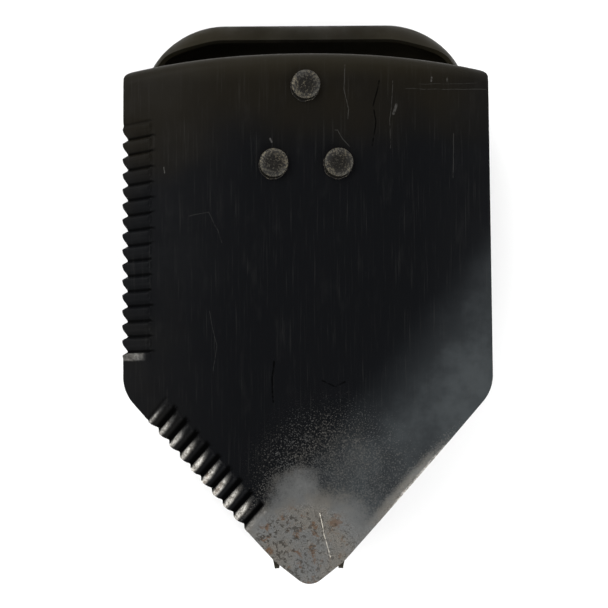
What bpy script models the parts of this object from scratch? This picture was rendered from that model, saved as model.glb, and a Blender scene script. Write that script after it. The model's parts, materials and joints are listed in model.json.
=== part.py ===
"""Folding camp shovel: a pressed steel blade, a tubular shaft and a channel-section D handle, folded flat.

The tool lies folded on its D handle, with the back of the blade up. +X runs across the blade, +Y from the
blade's tip to the grip, and +Z up. The origin is on the ground, below the middle of the folded tool.
"""

import math

import bmesh
import bpy
from mathutils import Matrix, Vector, geometry

# Driving dimensions, in metres.
GAP = 0.0003  # between pieces that touch on the real tool
CUTTER_TURN = math.radians(4)  # keeps the facets of two round shapes from coinciding
AXIS_Z = 0.022  # the shaft's axis above the ground
HINGE_Y = 0.081  # the blade's hinge
PIVOT_Y = -0.100  # the handle's pivot

# Blade: sheet steel, pressed into a shallow dish.
SHEET = 0.002
BACK_Z = AXIS_Z + 0.0313
BLADE_TOP_Y = 0.0991
BLADE_HALF_TOP = 0.0749
BLADE_HALF = 0.0762
SHOULDER_Y = -0.0389
FLANK = (0.0142, -0.1082, 0.012)  # where each sloping edge turns blunter near the tip, and its radius
APEX_Y = -0.11949  # where the two blunter edges would meet, if the tip were not round
TIP_RADIUS = 0.007
TOP_CORNER_RADIUS = 0.0042
SHOULDER_RADIUS = 0.016
TOP_SAG = 0.0068  # the top edge is an arc, this much lower at its ends
FLAT_HALF = 0.023  # the flat seat of the bracket
DISH_DEPTH = 0.008
DROOP_START_Y = 0.017
TIP_DROOP = 0.003
ROLL_RADIUS = 0.006  # the top edge is rolled over as a foot rest
ROLL_ANGLE = math.radians(70)

# Saw teeth: corrugations pressed into the left margin.
MARGIN = 0.0115
MARGIN_BEND = math.radians(10)
CREASE = 0.003
RIDGE = 0.0008  # half the height of a corrugation
NOTCH = 0.0017  # how deep the notches along the side are cut
SLOPE_NOTCH = 0.0010  # and those along the sloping edge
SIDE_PITCH = 0.00622
SIDE_NOTCHES = 15
SIDE_FIRST_Y = 0.0697
SLOPE_PITCH = 0.006575
SLOPE_NOTCHES = 9
SLOPE_FIRST = 0.01624  # from the shoulder along the sloping edge
TOOTH_STEPS = ((0.05, 0.0), (0.25, 0.15), (0.80, 1.0))  # phase, share of the notch

# Bracket under the blade, and the rivets through both.
PLATE = 0.003
PLATE_Z = BACK_Z - SHEET - GAP - PLATE
EAR_INNER = 0.0131
FLAT_DISTANCE = 0.0105  # from the hinge axis to the three locking flats
RIVET_SPOTS = {
    "blade_rivet_top": (0.0, 0.0857),
    "blade_rivet_left": (-0.01315, 0.0541),
    "blade_rivet_right": (0.01315, 0.0541),
}
RIVET_SHANK = 0.0032
RIVET_HEAD = 0.00585
RIVET_HEAD_HEIGHT = 0.003
RIVET_TAIL = 0.0055
RIVET_TAIL_HEIGHT = 0.0017
HINGE_PIN = 0.0045

# Shaft, lock nut and their small parts.
TUBE_RADIUS = 0.012
TUBE_WALL = 0.002
TUBE_FRONT_Y = 0.036
TUBE_REAR_Y = -0.0835
SPIGOT_RADIUS = TUBE_RADIUS - TUBE_WALL - GAP
SPIGOT_FRONT_Y = 0.003
SPIGOT_REAR_Y = -0.0555
EYE_RADIUS = 0.0117
EYE_HALF = 0.0118
KNUCKLE_RADIUS = 0.0119
NECK_LENGTH = 0.0126  # of the slimmer body behind each eye
NUT_RADIUS = 0.0205
NUT_LENGTH = 0.030
NUT_FRONT_Y = 0.0632
NUT_FLUTES = 12
FLUTE_RADIUS = 0.0048
FLUTE_DISTANCE = 0.0240  # of a flute's own axis from the nut's
WASHER_RADIUS = 0.018
WASHER_THICKNESS = 0.002
STOP_RING_Y = 0.019
ROLL_PIN_RADIUS = 0.0019
ROLL_PIN_SPOTS = {"shaft_pin_front": 0.011, "shaft_pin_rear": -0.0695}

# D handle: pressed aluminium, a rolled channel open towards the blade.
GRIP_Y = 0.1166
GRIP_HALF = 0.0345
GRIP_CORNER = 0.036
WALL_TOP = 0.0235
EAR_TOP = AXIS_Z + 0.0095
NECK_START_Y = -0.0775
NECK_END_Y = -0.1152
NECK_HALF = 0.0155
NECK_WEB_Z = AXIS_Z - TUBE_RADIUS - 0.0005 - SHEET
# The hand opening's corners, each with its radius.
OPENING = ((0.0519, 0.0915, 0.016), (-0.0519, 0.0915, 0.016), (0.0, -0.0511, 0.008))
FLANGE_TOP = 0.007
PIVOT_PIN = 0.004
DETENT_OFFSET = 0.011  # from the pivot to the spring-loaded balls
BALL_RADIUS = 0.0025

# Colour, roughness and metallic value of each finish.
LOOKS = {
    "black_steel": ((0.02, 0.02, 0.022), 0.38, 0.0),
    "black_alloy": ((0.022, 0.02, 0.016), 0.42, 0.0),
    "bare_steel": ((0.32, 0.31, 0.29), 0.42, 1.0),
    "nut_black": ((0.02, 0.02, 0.02), 0.5, 0.0),
}


# --- Small helpers ----------------------------------------------------------------------------------------


def smoothstep(low, high, value):
    share = min(1.0, max(0.0, (value - low) / (high - low)))
    return share * share * (3 - 2 * share)


def clear_scene():
    for old in list(bpy.data.objects):
        bpy.data.objects.remove(old)


def new_collection(name):
    made = bpy.data.collections.new(name)
    bpy.context.scene.collection.children.link(made)
    return made


def paint(name, look):
    """A material of its own for one piece, with one of the looks below."""
    colour, roughness, metallic = LOOKS[look]
    made = bpy.data.materials.new(f"{name}_{look}")
    made.use_nodes = True
    shader = made.node_tree.nodes["Principled BSDF"]
    shader.inputs["Base Color"].default_value = (*colour, 1.0)
    shader.inputs["Roughness"].default_value = roughness
    shader.inputs["Metallic"].default_value = metallic
    return made


def add_mesh(name, bm, look=None):
    """An object in the shovel's collection from a bmesh, or a cutter if it has no look."""
    mesh = bpy.data.meshes.new(name)
    bmesh.ops.recalc_face_normals(bm, faces=bm.faces)
    bm.to_mesh(mesh)
    bm.free()
    made = bpy.data.objects.new(name, mesh)
    if look is None:
        cutters.objects.link(made)
        made.hide_render = True
        made.display_type = "WIRE"
    else:
        shovel.objects.link(made)
        mesh.materials.append(paint(name, look))
        mesh.shade_smooth()
        mesh.set_sharp_from_angle(angle=math.radians(30))
    return made


def boolean(target, operation, other):
    modifier = target.modifiers.new(f"{operation.lower()} {other.name}", "BOOLEAN")
    modifier.operation = operation
    modifier.object = other
    return modifier


def turned(name, profile, segments, look=None, closed=False):
    """A profile of (radius, height) points, top to bottom down its outer side, turned about Z."""
    mesh = bpy.data.meshes.new(name)
    count = len(profile)
    edges = [(i, i + 1) for i in range(count - 1)] + ([(count - 1, 0)] if closed else [])
    mesh.from_pydata([(radius, 0, height) for radius, height in profile], edges, [])
    made = bpy.data.objects.new(name, mesh)
    if look is None:
        cutters.objects.link(made)
        made.hide_render = True
        made.display_type = "WIRE"
    else:
        shovel.objects.link(made)
        mesh.materials.append(paint(name, look))
    screw = made.modifiers.new("turn", "SCREW")
    screw.steps = segments
    screw.render_steps = segments
    screw.use_merge_vertices = True
    screw.merge_threshold = 0.00001
    screw.use_smooth_shade = True
    return made


def rod_profile(radius, bottom, top):
    return [(0, top), (radius, top), (radius, bottom), (0, bottom)]


def pipe_profile(inner, outer, bottom, top):
    return [(outer, top), (outer, bottom), (inner, bottom), (inner, top)]


def along_x(made, y, z, turn=0.0):
    """Places a turned piece with its axis along X."""
    made.rotation_mode = "ZYX"
    made.rotation_euler = (0, math.radians(90), turn)
    made.location = (0, y, z)
    return made


def along_y(made, y=0.0):
    """Places a turned piece with its axis along the shaft: its own +Z points to +Y."""
    made.rotation_euler = (math.radians(-90), 0, 0)
    made.location = (0, y, AXIS_Z)
    return made


def corner_arc(before, corner, after, radius, segments):
    """Points of the arc that rounds one corner of an outline."""
    to_before = (before - corner).normalized()
    to_after = (after - corner).normalized()
    half = to_before.angle(to_after) / 2
    start = corner + to_before * (radius / math.tan(half))
    centre = corner + (to_before + to_after).normalized() * (radius / math.sin(half))
    arm = start - centre
    turn = math.pi - 2 * half
    if to_before.x * to_after.y - to_before.y * to_after.x > 0:
        turn = -turn
    return [centre + Matrix.Rotation(turn * i / segments, 2) @ arm for i in range(segments + 1)]


def rounded(corners, segments=5):
    """An outline of (x, y, radius) corners, as a list of points for each corner."""
    points = [Vector((x, y)) for x, y, _ in corners]
    count = len(points)
    return [
        corner_arc(points[i - 1], points[i], points[(i + 1) % count], corners[i][2], segments)
        for i in range(count)
    ]


def grown(corners, distance):
    """A convex outline of (x, y, radius) corners, listed anticlockwise, moved outwards."""
    points = [Vector((x, y)) for x, y, _ in corners]
    made = []
    for i, point in enumerate(points):
        to_before = (points[i - 1] - point).normalized()
        to_after = (points[(i + 1) % len(points)] - point).normalized()
        half = to_before.angle(to_after) / 2
        moved = point - (to_before + to_after).normalized() * (distance / math.sin(half))
        made.append((moved.x, moved.y, corners[i][2] + distance))
    return made


def prism(name, outline, bottom, top, look=None):
    """A flat outline extruded along Z: a filled 2D curve made into a mesh."""
    curve = bpy.data.curves.new(name, "CURVE")
    curve.dimensions = "2D"
    curve.fill_mode = "BOTH"
    curve.extrude = (top - bottom) / 2
    spline = curve.splines.new("POLY")
    spline.points.add(len(outline) - 1)
    for point, (x, y) in zip(spline.points, outline):
        point.co = (x, y, 0, 1)
    spline.use_cyclic_u = True
    drawn = bpy.data.objects.new(name + "_curve", curve)
    cutters.objects.link(drawn)
    bpy.context.view_layer.update()
    graph = bpy.context.evaluated_depsgraph_get()
    bm = bmesh.new()
    flat = bpy.data.meshes.new_from_object(drawn.evaluated_get(graph))
    bm.from_mesh(flat)
    bpy.data.objects.remove(drawn)
    bmesh.ops.remove_doubles(bm, verts=bm.verts, dist=0.000001)
    bmesh.ops.translate(bm, verts=bm.verts, vec=(0, 0, (top + bottom) / 2))
    return add_mesh(name, bm, look)


def flatten(points_by_corner):
    return [tuple(point) for points in points_by_corner for point in points]


# --- Blade ------------------------------------------------------------------------------------------------


def top_edge_y(x):
    return BLADE_TOP_Y - TOP_SAG * (x / BLADE_HALF_TOP) ** 2


def side_x(y):
    """Half the blade's width, between the top corners and the shoulders."""
    share = (y - SHOULDER_Y) / (BLADE_TOP_Y - SHOULDER_Y)
    return BLADE_HALF + (BLADE_HALF_TOP - BLADE_HALF) * share


SLOPE_DIRECTION = Vector((BLADE_HALF - FLANK[0], FLANK[1] - SHOULDER_Y)).normalized()
SLOPE_INWARD = Vector((-SLOPE_DIRECTION.y, SLOPE_DIRECTION.x))


def margin_distances(x, y):
    """Distances inward from the toothed side and from the toothed sloping edge."""
    return x + side_x(y), (Vector((x, y)) - Vector((-BLADE_HALF, SHOULDER_Y))).dot(SLOPE_INWARD)


def corrugation(steps, notches):
    """Height of the corrugations, from -1 to 1, some pitches from the first tooth. It fades at both ends."""
    inside = smoothstep(-0.30, 0.12, steps) * (1 - smoothstep(notches - 0.10, notches + 0.35, steps))
    phase = (steps - 0.08) % 1 + 0.08
    if phase < 0.80:
        return inside * (1 - 2 * smoothstep(0.28, 0.80, phase))
    return inside * (2 * smoothstep(0.80, 1.08, phase) - 1)


def relief(x, y):
    """Height of the pressed teeth above the blade's plain surface."""
    from_side, from_slope = margin_distances(x, y)
    if y > SHOULDER_Y:
        steps = (SIDE_FIRST_Y - y) / SIDE_PITCH
        return RIDGE * corrugation(steps, SIDE_NOTCHES) * (1 - smoothstep(0.0085, 0.0115, from_side))
    along = (Vector((x, y)) - Vector((-BLADE_HALF, SHOULDER_Y))).dot(SLOPE_DIRECTION)
    steps = (along - SLOPE_FIRST) / SLOPE_PITCH
    return RIDGE * corrugation(steps, SLOPE_NOTCHES) * (1 - smoothstep(0.0085, 0.0115, from_slope))


def margin_drop(x, y):
    """The toothed margin is bent down from the rest of the blade, along a soft crease that ends above it."""
    beyond = MARGIN - min(margin_distances(x, y))
    if beyond <= 0:
        return 0.0
    soft = min(beyond, CREASE)
    drop = math.tan(MARGIN_BEND) * (soft * soft / (2 * CREASE) + beyond - soft)
    return drop * (1 - smoothstep(SIDE_FIRST_Y - 0.0015, SIDE_FIRST_Y + 0.004, y))


def pressed_surface(x, v):
    """Where a point of the flat blank lies on the back of the pressed blade, without its teeth."""
    bend_y = top_edge_y(x) - ROLL_RADIUS * math.sin(ROLL_ANGLE)
    angle = max(0.0, v - bend_y) / ROLL_RADIUS
    y = min(v, bend_y) + ROLL_RADIUS * math.sin(angle)
    dish = DISH_DEPTH * (max(0.0, abs(x) - FLAT_HALF) / (BLADE_HALF - FLAT_HALF)) ** 2
    droop = TIP_DROOP * (max(0.0, DROOP_START_Y - y) / (DROOP_START_Y - APEX_Y)) ** 2
    z = BACK_Z - dish - droop - margin_drop(x, y) - ROLL_RADIUS * (1 - math.cos(angle))
    return Vector((x, y, z))


def press(x, v, depth):
    """A point of the blank, so deep in the sheet, after pressing."""
    small = 0.00002
    surface = pressed_surface(x, v)
    across = pressed_surface(x + small, v) - pressed_surface(x - small, v)
    up = pressed_surface(x, v + small) - pressed_surface(x, v - small)
    return surface + across.cross(up).normalized() * (relief(x, v) + depth)


def straight(start, end, spacing):
    """Points between two ends of a straight edge, without the ends."""
    count = max(1, round((end - start).length / spacing))
    return [start.lerp(end, i / count) for i in range(1, count)]


def tooth_places(first, pitch, notches):
    """(distance along the edge, share of the notch) for each corner of the teeth."""
    return [(first + pitch * (i + phase), share) for i in range(notches) for phase, share in TOOTH_STEPS]


def blank_outline():
    """The flat blank's outline, anticlockwise, and the extra points that the teeth need inside it."""
    extra = ROLL_RADIUS * (ROLL_ANGLE - math.sin(ROLL_ANGLE))
    top = BLADE_TOP_Y - TOP_SAG + extra
    corners = (
        (BLADE_HALF_TOP, top, TOP_CORNER_RADIUS),
        (-BLADE_HALF_TOP, top, TOP_CORNER_RADIUS),
        (-BLADE_HALF, SHOULDER_Y, SHOULDER_RADIUS),
        (-FLANK[0], FLANK[1], FLANK[2]),
        (0.0, APEX_Y, TIP_RADIUS),
        FLANK,
        (BLADE_HALF, SHOULDER_Y, SHOULDER_RADIUS),
    )
    arcs = rounded(corners, 4)
    outline = []
    inside = []
    for i, arc in enumerate(arcs):
        outline += arc
        start, end = arc[-1], arcs[(i + 1) % len(arcs)][0]
        if i == 1:
            teeth = tooth_places(0, SIDE_PITCH, SIDE_NOTCHES)
            places = [(Vector((-side_x(SIDE_FIRST_Y - s), SIDE_FIRST_Y - s)), share) for s, share in teeth]
            inward, notch = Vector((1, 0)), NOTCH
        elif i == 2:
            corner = Vector((-BLADE_HALF, SHOULDER_Y))
            teeth = tooth_places(SLOPE_FIRST, SLOPE_PITCH, SLOPE_NOTCHES)
            places = [(corner + SLOPE_DIRECTION * s, share) for s, share in teeth]
            inward, notch = SLOPE_INWARD, SLOPE_NOTCH
        else:
            outline += straight(start, end, 0.012)
            continue
        outline += straight(start, places[0][0], 0.012)
        outline += [place + inward * (notch * share) for place, share in places]
        outline += straight(places[-1][0], end, 0.008)
        inside += [place + inward * depth for place, _ in places for depth in (0.0085, 0.0115)]
    bulged = [Vector((p.x, p.y + top_bulge(p))) for p in outline]
    return bulged, inside


def top_bulge(point):
    """Lifts the straight top edge into its arc."""
    return TOP_SAG * (1 - (point.x / BLADE_HALF_TOP) ** 2) * smoothstep(0.080, 0.094, point.y)


def blank_inside(outline):
    """Points inside the blank: rows along the rolled edge, and a grid that carries the dish."""
    points = []
    for i in range(-6, 7):
        x = i * 0.0117
        bend_y = top_edge_y(x) - ROLL_RADIUS * math.sin(ROLL_ANGLE)
        points += [Vector((x, bend_y + ROLL_RADIUS * ROLL_ANGLE * share)) for share in (0, 0.35, 0.7)]
    for row in range(16):
        for column in range(-5, 6):
            point = Vector((column * 0.0125, 0.084 - row * 0.0125))
            if point.x > -0.058 and all((point - other).length > 0.008 for other in outline):
                points.append(point)
    return points


def build_blade(look):
    outline, teeth = blank_outline()
    cage = [point for point in blank_inside(outline) if all((point - t).length > 0.003 for t in teeth)]
    inside_blank = [point for point in cage if abs(point.x) < point_limit(point.y)]
    points = outline + teeth + inside_blank
    made = geometry.delaunay_2d_cdt(points, [], [list(range(len(outline)))], 1, 0.0000001)
    bm = bmesh.new()
    corners = [bm.verts.new((point.x, point.y, 0)) for point in made[0]]
    for face in made[2]:
        bm.faces.new([corners[i] for i in face])
    bmesh.ops.recalc_face_normals(bm, faces=bm.faces)
    bmesh.ops.solidify(bm, geom=bm.faces[:], thickness=SHEET)
    highest = max(vert.co.z for vert in bm.verts)
    for vert in bm.verts:
        vert.co = press(vert.co.x, vert.co.y, vert.co.z - highest)
    blade = add_mesh("blade", bm, look)
    for name, (x, y) in RIVET_SPOTS.items():
        hole = turned(name + "_hole", rod_profile(RIVET_SHANK + GAP, -0.01, 0.01), 20)
        hole.location = (x, y, BACK_Z)
        hole.rotation_euler.z = CUTTER_TURN
        boolean(blade, "DIFFERENCE", hole)
    return blade


def point_limit(y):
    """How far from the middle a point may be to lie well inside the blank."""
    if y > SHOULDER_Y:
        return side_x(y) - 0.004
    return BLADE_HALF * (y - APEX_Y) / (SHOULDER_Y - APEX_Y) - 0.006


# --- Bracket, rivets and hinge pin ------------------------------------------------------------------------


def ear_outline():
    """One ear of the bracket seen from the side, as (y, z): three locking flats and a gusset."""
    low, high = HINGE_Y - FLAT_DISTANCE, HINGE_Y + FLAT_DISTANCE
    corners = (
        (low, AXIS_Z - FLAT_DISTANCE, 0.0032),
        (high, AXIS_Z - FLAT_DISTANCE, 0.0032),
        (high, AXIS_Z + FLAT_DISTANCE + 0.006, 0.003),
        (0.0920, PLATE_Z - 0.003, 0.002),
        (0.0920, PLATE_Z + 0.002, 0.0003),
        (0.0618, PLATE_Z + 0.002, 0.0003),
        (0.0622, PLATE_Z - 0.0040, 0.002),
        (low, AXIS_Z + FLAT_DISTANCE + 0.007, 0.004),
    )
    return flatten(rounded(corners, 4))


def build_bracket(look):
    corners = (
        (0.0166, 0.0925, 0.003),
        (-0.0166, 0.0925, 0.003),
        (-0.0166, 0.0710, 0.012),
        (-0.0225, 0.0570, 0.008),
        (-0.0150, 0.0420, 0.007),
        (0.0150, 0.0420, 0.007),
        (0.0225, 0.0570, 0.008),
        (0.0166, 0.0710, 0.012),
    )
    bracket = prism("blade_bracket", flatten(rounded(corners, 4)), PLATE_Z, PLATE_Z + PLATE, look)
    for side, x in (("left", -EAR_INNER - PLATE), ("right", EAR_INNER)):
        ear = prism(f"bracket_ear_{side}", ear_outline(), 0, PLATE)
        # The outline's (y, z) lies in its own (x, y): turn it up into the plane across X.
        ear.data.transform(Matrix(((0, 0, 1, x), (1, 0, 0, 0), (0, 1, 0, 0), (0, 0, 0, 1))))
        boolean(bracket, "UNION", ear)
    bore = along_x(turned("hinge_bore", rod_profile(HINGE_PIN + GAP, -0.03, 0.03), 24), HINGE_Y, AXIS_Z)
    boolean(bracket, "DIFFERENCE", bore)
    for name, (x, y) in RIVET_SPOTS.items():
        hole = turned(name + "_bracket_hole", rod_profile(RIVET_SHANK + GAP, -0.01, 0.01), 20)
        hole.location = (x, y, PLATE_Z)
        hole.rotation_euler.z = CUTTER_TURN
        boolean(bracket, "DIFFERENCE", hole)
    return bracket


def build_rivets(look):
    head = BACK_Z + GAP
    tail = PLATE_Z - GAP
    profile = [
        (0, head + RIVET_HEAD_HEIGHT),
        (RIVET_HEAD - 0.0009, head + RIVET_HEAD_HEIGHT),
        (RIVET_HEAD, head + RIVET_HEAD_HEIGHT - 0.0007),
        (RIVET_HEAD, head),
        (RIVET_SHANK, head),
        (RIVET_SHANK, tail),
        (RIVET_TAIL, tail),
        (RIVET_TAIL - 0.0012, tail - RIVET_TAIL_HEIGHT),
        (0, tail - RIVET_TAIL_HEIGHT),
    ]
    for name, (x, y) in RIVET_SPOTS.items():
        turned(name, profile, 28, look).location = (x, y, 0)


def build_hinge_pin(look):
    ear = EAR_INNER + PLATE + GAP
    profile = [
        (0, ear + 0.0032),
        (0.0050, ear + 0.0032),
        (0.0062, ear + 0.0015),
        (HINGE_PIN, ear + 0.0015),
        (HINGE_PIN, -ear),
        (0.0070, -ear),
        (0.0070, -ear - 0.0015),
        (0.0060, -ear - 0.0024),
        (0, -ear - 0.0024),
    ]
    along_x(turned("hinge_pin", profile, 28, look), HINGE_Y, AXIS_Z)
    washer = pipe_profile(HINGE_PIN + GAP, 0.0074, ear, ear + 0.0012)
    along_x(turned("hinge_pin_washer", washer, 28, look, closed=True), HINGE_Y, AXIS_Z)
    for side, sign in (("left", -1), ("right", 1)):
        near, far = sorted((sign * (EYE_HALF + GAP), sign * (EAR_INNER - GAP)))
        shim = pipe_profile(HINGE_PIN + GAP, 0.0092, near, far)
        along_x(turned(f"hinge_shim_{side}", shim, 28, look, closed=True), HINGE_Y, AXIS_Z)


# --- Shaft ------------------------------------------------------------------------------------------------


def build_tube(look):
    profile = pipe_profile(TUBE_RADIUS - TUBE_WALL, TUBE_RADIUS, TUBE_REAR_Y, TUBE_FRONT_Y)
    tube = along_y(turned("shaft_tube", profile, 32, look, closed=True))
    cut_roll_pin_holes(tube)


def cut_roll_pin_holes(target):
    for name, y in ROLL_PIN_SPOTS.items():
        hole = turned(f"{name}_hole_{target.name}", rod_profile(ROLL_PIN_RADIUS + GAP, -0.02, 0.02), 14)
        hole.location = (0, y, AXIS_Z)
        boolean(target, "DIFFERENCE", hole)


def build_end_fitting(name, eye_y, radius, pin, tube_y, spigot_y, look):
    """A solid end of the shaft: a round eye across it, a slimmer body, a full body, a spigot in the tube."""
    out = 1 if eye_y > tube_y else -1
    slim = radius - 0.0003
    shoulder = eye_y - out * NECK_LENGTH
    profile = [
        (0, eye_y),
        (slim, eye_y),
        (slim, shoulder),
        (TUBE_RADIUS, shoulder - out * (TUBE_RADIUS - slim)),
        (TUBE_RADIUS, tube_y + out * GAP),
        (SPIGOT_RADIUS, tube_y + out * GAP),
        (SPIGOT_RADIUS, spigot_y),
        (0, spigot_y),
    ]
    fitting = along_y(turned(name, profile if out > 0 else profile[::-1], 32, look))
    eye = turned(name + "_eye", rod_profile(radius, -EYE_HALF, EYE_HALF), 32)
    boolean(fitting, "UNION", along_x(eye, eye_y, AXIS_Z, CUTTER_TURN))
    bore = turned(name + "_bore", rod_profile(pin + GAP, -0.03, 0.03), 24)
    boolean(fitting, "DIFFERENCE", along_x(bore, eye_y, AXIS_Z, 2 * CUTTER_TURN))
    cut_roll_pin_holes(fitting)
    return fitting


def build_shaft_ends(steel, alloy):
    build_end_fitting("threaded_end", HINGE_Y, EYE_RADIUS, HINGE_PIN, TUBE_FRONT_Y, SPIGOT_FRONT_Y, steel)
    rear = build_end_fitting(
        "shaft_knuckle", PIVOT_Y, KNUCKLE_RADIUS, PIVOT_PIN, TUBE_REAR_Y, SPIGOT_REAR_Y, alloy
    )
    cross = turned("detent_bore", rod_profile(BALL_RADIUS + GAP, -0.03, 0.03), 16)
    boolean(rear, "DIFFERENCE", along_x(cross, PIVOT_Y + DETENT_OFFSET, AXIS_Z))


def build_roll_pins(look):
    half = TUBE_RADIUS - 0.0003
    for name, y in ROLL_PIN_SPOTS.items():
        pin = turned(name, pipe_profile(0.0011, ROLL_PIN_RADIUS, -half, half), 14, look, closed=True)
        pin.location = (0, y, AXIS_Z)


def build_stop_ring(look):
    profile = pipe_profile(TUBE_RADIUS + GAP, 0.0142, STOP_RING_Y, STOP_RING_Y + 0.002)
    ring = along_y(turned("nut_stop_ring", profile, 32, look, closed=True))
    bm = bmesh.new()
    bmesh.ops.create_cube(bm, size=1)
    bmesh.ops.scale(bm, verts=bm.verts, vec=(0.007, 0.01, 0.01))
    bmesh.ops.translate(bm, verts=bm.verts, vec=(0, STOP_RING_Y, AXIS_Z + 0.0142))
    boolean(ring, "DIFFERENCE", add_mesh("stop_ring_gap", bm))


def build_lock_nut(nut_look, washer_look):
    front, back = NUT_FRONT_Y, NUT_FRONT_Y - NUT_LENGTH
    seat = WASHER_RADIUS + GAP
    depth = WASHER_THICKNESS - 0.001 + GAP
    bore = TUBE_RADIUS + GAP
    profile = [
        (seat, front),
        (NUT_RADIUS - 0.0012, front),
        (NUT_RADIUS, front - 0.0012),
        (NUT_RADIUS, back + 0.0015),
        (NUT_RADIUS - 0.0015, back),
        (bore + 0.0008, back),
        (bore, back + 0.0008),
        (bore, front - depth),
        (seat, front - depth),
    ]
    nut = along_y(turned("lock_nut", profile, 48, nut_look, closed=True))
    bm = bmesh.new()
    for i in range(NUT_FLUTES):
        angle = math.tau * (i + 0.5) / NUT_FLUTES
        out = Vector((math.cos(angle), math.sin(angle), 0)) * FLUTE_DISTANCE
        spot = Matrix.Translation(out + Vector((0, 0, front - NUT_LENGTH / 2)))
        bmesh.ops.create_cone(bm, cap_ends=True, segments=14, radius1=FLUTE_RADIUS, radius2=FLUTE_RADIUS,
                              depth=NUT_LENGTH + 0.01, matrix=spot)
    flutes = along_y(add_mesh("nut_flutes", bm))
    boolean(nut, "DIFFERENCE", flutes)
    washer_front = front + 0.001
    washer = pipe_profile(bore + 0.0006, WASHER_RADIUS, washer_front - WASHER_THICKNESS, washer_front)
    along_y(turned("thrust_washer", washer, 40, washer_look, closed=True))


# --- D handle ---------------------------------------------------------------------------------------------


def web_z(y):
    """Height of the handle's web: on the ground, and raised to the shaft at the neck."""
    return NECK_WEB_Z * smoothstep(0.044, 0.078, -y)


def wall_top_z(y):
    """Height of the handle's outer wall, which grows into the ears that hold the pivot."""
    if y < PIVOT_Y:
        beyond = (PIVOT_Y - y) / (PIVOT_Y - NECK_END_Y + 0.0008)
        return AXIS_Z + (EAR_TOP - AXIS_Z) * math.sqrt(1 - beyond * beyond)
    return WALL_TOP + (EAR_TOP - WALL_TOP) * smoothstep(0.050, 0.086, -y)


def handle_stations():
    """Half the handle's outline, from the middle of the grip to the neck's end: (point, inward direction)."""
    centre = Vector((GRIP_HALF, GRIP_Y - GRIP_CORNER))
    neck = Vector((NECK_HALF + 0.0004, NECK_START_Y))
    away = neck - centre
    last = math.atan2(away.y, away.x) + math.acos(GRIP_CORNER / away.length)
    stations = [(Vector((x, GRIP_Y)), Vector((0, -1))) for x in (0, GRIP_HALF / 2)]
    for i in range(9):
        angle = math.radians(90) + (last - math.radians(90)) * i / 8
        outward = Vector((math.cos(angle), math.sin(angle)))
        stations.append((centre + outward * GRIP_CORNER, -outward))
    start, inward = stations[-1]
    stations += [(start.lerp(neck, i / 9), inward) for i in range(1, 9)]
    for y in (NECK_START_Y, -0.083, -0.089, -0.095, PIVOT_Y, -0.105, -0.109, -0.1125, NECK_END_Y):
        half = NECK_HALF - 0.0010 * smoothstep(0.108, -NECK_END_Y, -y)
        half += 0.0004 * smoothstep(-0.089, -0.078, y)
        turn = Vector((-1, 0)).lerp(inward, smoothstep(-0.088, -0.074, y)).normalized()
        stations.append((Vector((half, y)), turn))
    return stations


def handle_profile(point):
    """The wall's section at one station, from its free edge to the web, as (distance inward, z)."""
    at_grip = smoothstep(0.102, GRIP_Y, point.y)
    at_arm = smoothstep(-0.086, -0.055, point.y)
    roll = 0.004 + at_arm * (0.0045 + 0.004 * smoothstep(-0.02, 0.09, point.y))
    lean = at_arm * (0.0028 + 0.0048 * at_grip)
    foot = web_z(point.y)
    limit = math.radians(62)
    top = wall_top_z(point.y) - foot - roll
    section = []
    for share in (1, 0.66, 0.33, 0):
        angle = limit * share
        inward = lean * (1 - math.cos(angle)) / (1 - math.cos(limit))
        section.append((inward, foot + roll + top * math.sin(angle) / math.sin(limit)))
    for angle in (math.radians(30), math.radians(60), math.radians(90)):
        section.append((roll * (1 - math.cos(angle)), foot + roll * (1 - math.sin(angle))))
    return section


def build_handle(look):
    stations = handle_stations()
    around = sum(point.y > -0.056 for point, _ in stations)
    rows = []
    for i, (point, inward) in enumerate(stations):
        row = []
        for distance, z in handle_profile(point):
            place = point + inward * distance
            row.append((place.x if i else 0.0, place.y, z))
        foot = Vector(row[-1][:2])
        axis_y = 0.070 - 0.122 * i / around if i < around else foot.y
        for share in (0.5, 1):
            spot = foot.lerp(Vector((0, axis_y)), share)
            row.append((spot.x, spot.y, web_z(spot.y)))
        rows.append(row)
    bm = bmesh.new()
    grid = [[bm.verts.new(co) for co in row] for row in rows]
    for above, below in zip(grid, grid[1:]):
        for i in range(len(above) - 1):
            bm.faces.new((above[i], above[i + 1], below[i + 1], below[i]))
    handle = add_mesh("d_handle", bm, look)
    if sum(face.normal.z * face.area for face in handle.data.polygons) > 0:
        handle.data.flip_normals()
    mirror = handle.modifiers.new("other half", "MIRROR")
    mirror.merge_threshold = 0.00001
    skin = handle.modifiers.new("sheet", "SOLIDIFY")
    skin.thickness = SHEET
    skin.offset = -1
    skin.use_even_offset = True
    cut_handle(handle)


def cut_handle(handle):
    """The hand opening with its turned-up edge, and the holes for the pivot and the detent balls."""
    edge = prism("opening_edge", flatten(rounded(grown(OPENING, SHEET))), SHEET / 3, FLANGE_TOP)
    boolean(handle, "UNION", edge)
    opening = prism("hand_opening", flatten(rounded(OPENING)), -0.01, 0.012)
    boolean(handle, "DIFFERENCE", opening)
    pivot = along_x(turned("pivot_hole", rod_profile(PIVOT_PIN + GAP, -0.03, 0.03), 24), PIVOT_Y, AXIS_Z)
    boolean(handle, "DIFFERENCE", pivot)
    for name, offset in (("folded", DETENT_OFFSET), ("open", -DETENT_OFFSET)):
        hole = turned(f"detent_hole_{name}", rod_profile(0.002, -0.03, 0.03), 14)
        boolean(handle, "DIFFERENCE", along_x(hole, PIVOT_Y + offset, AXIS_Z))


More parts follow.
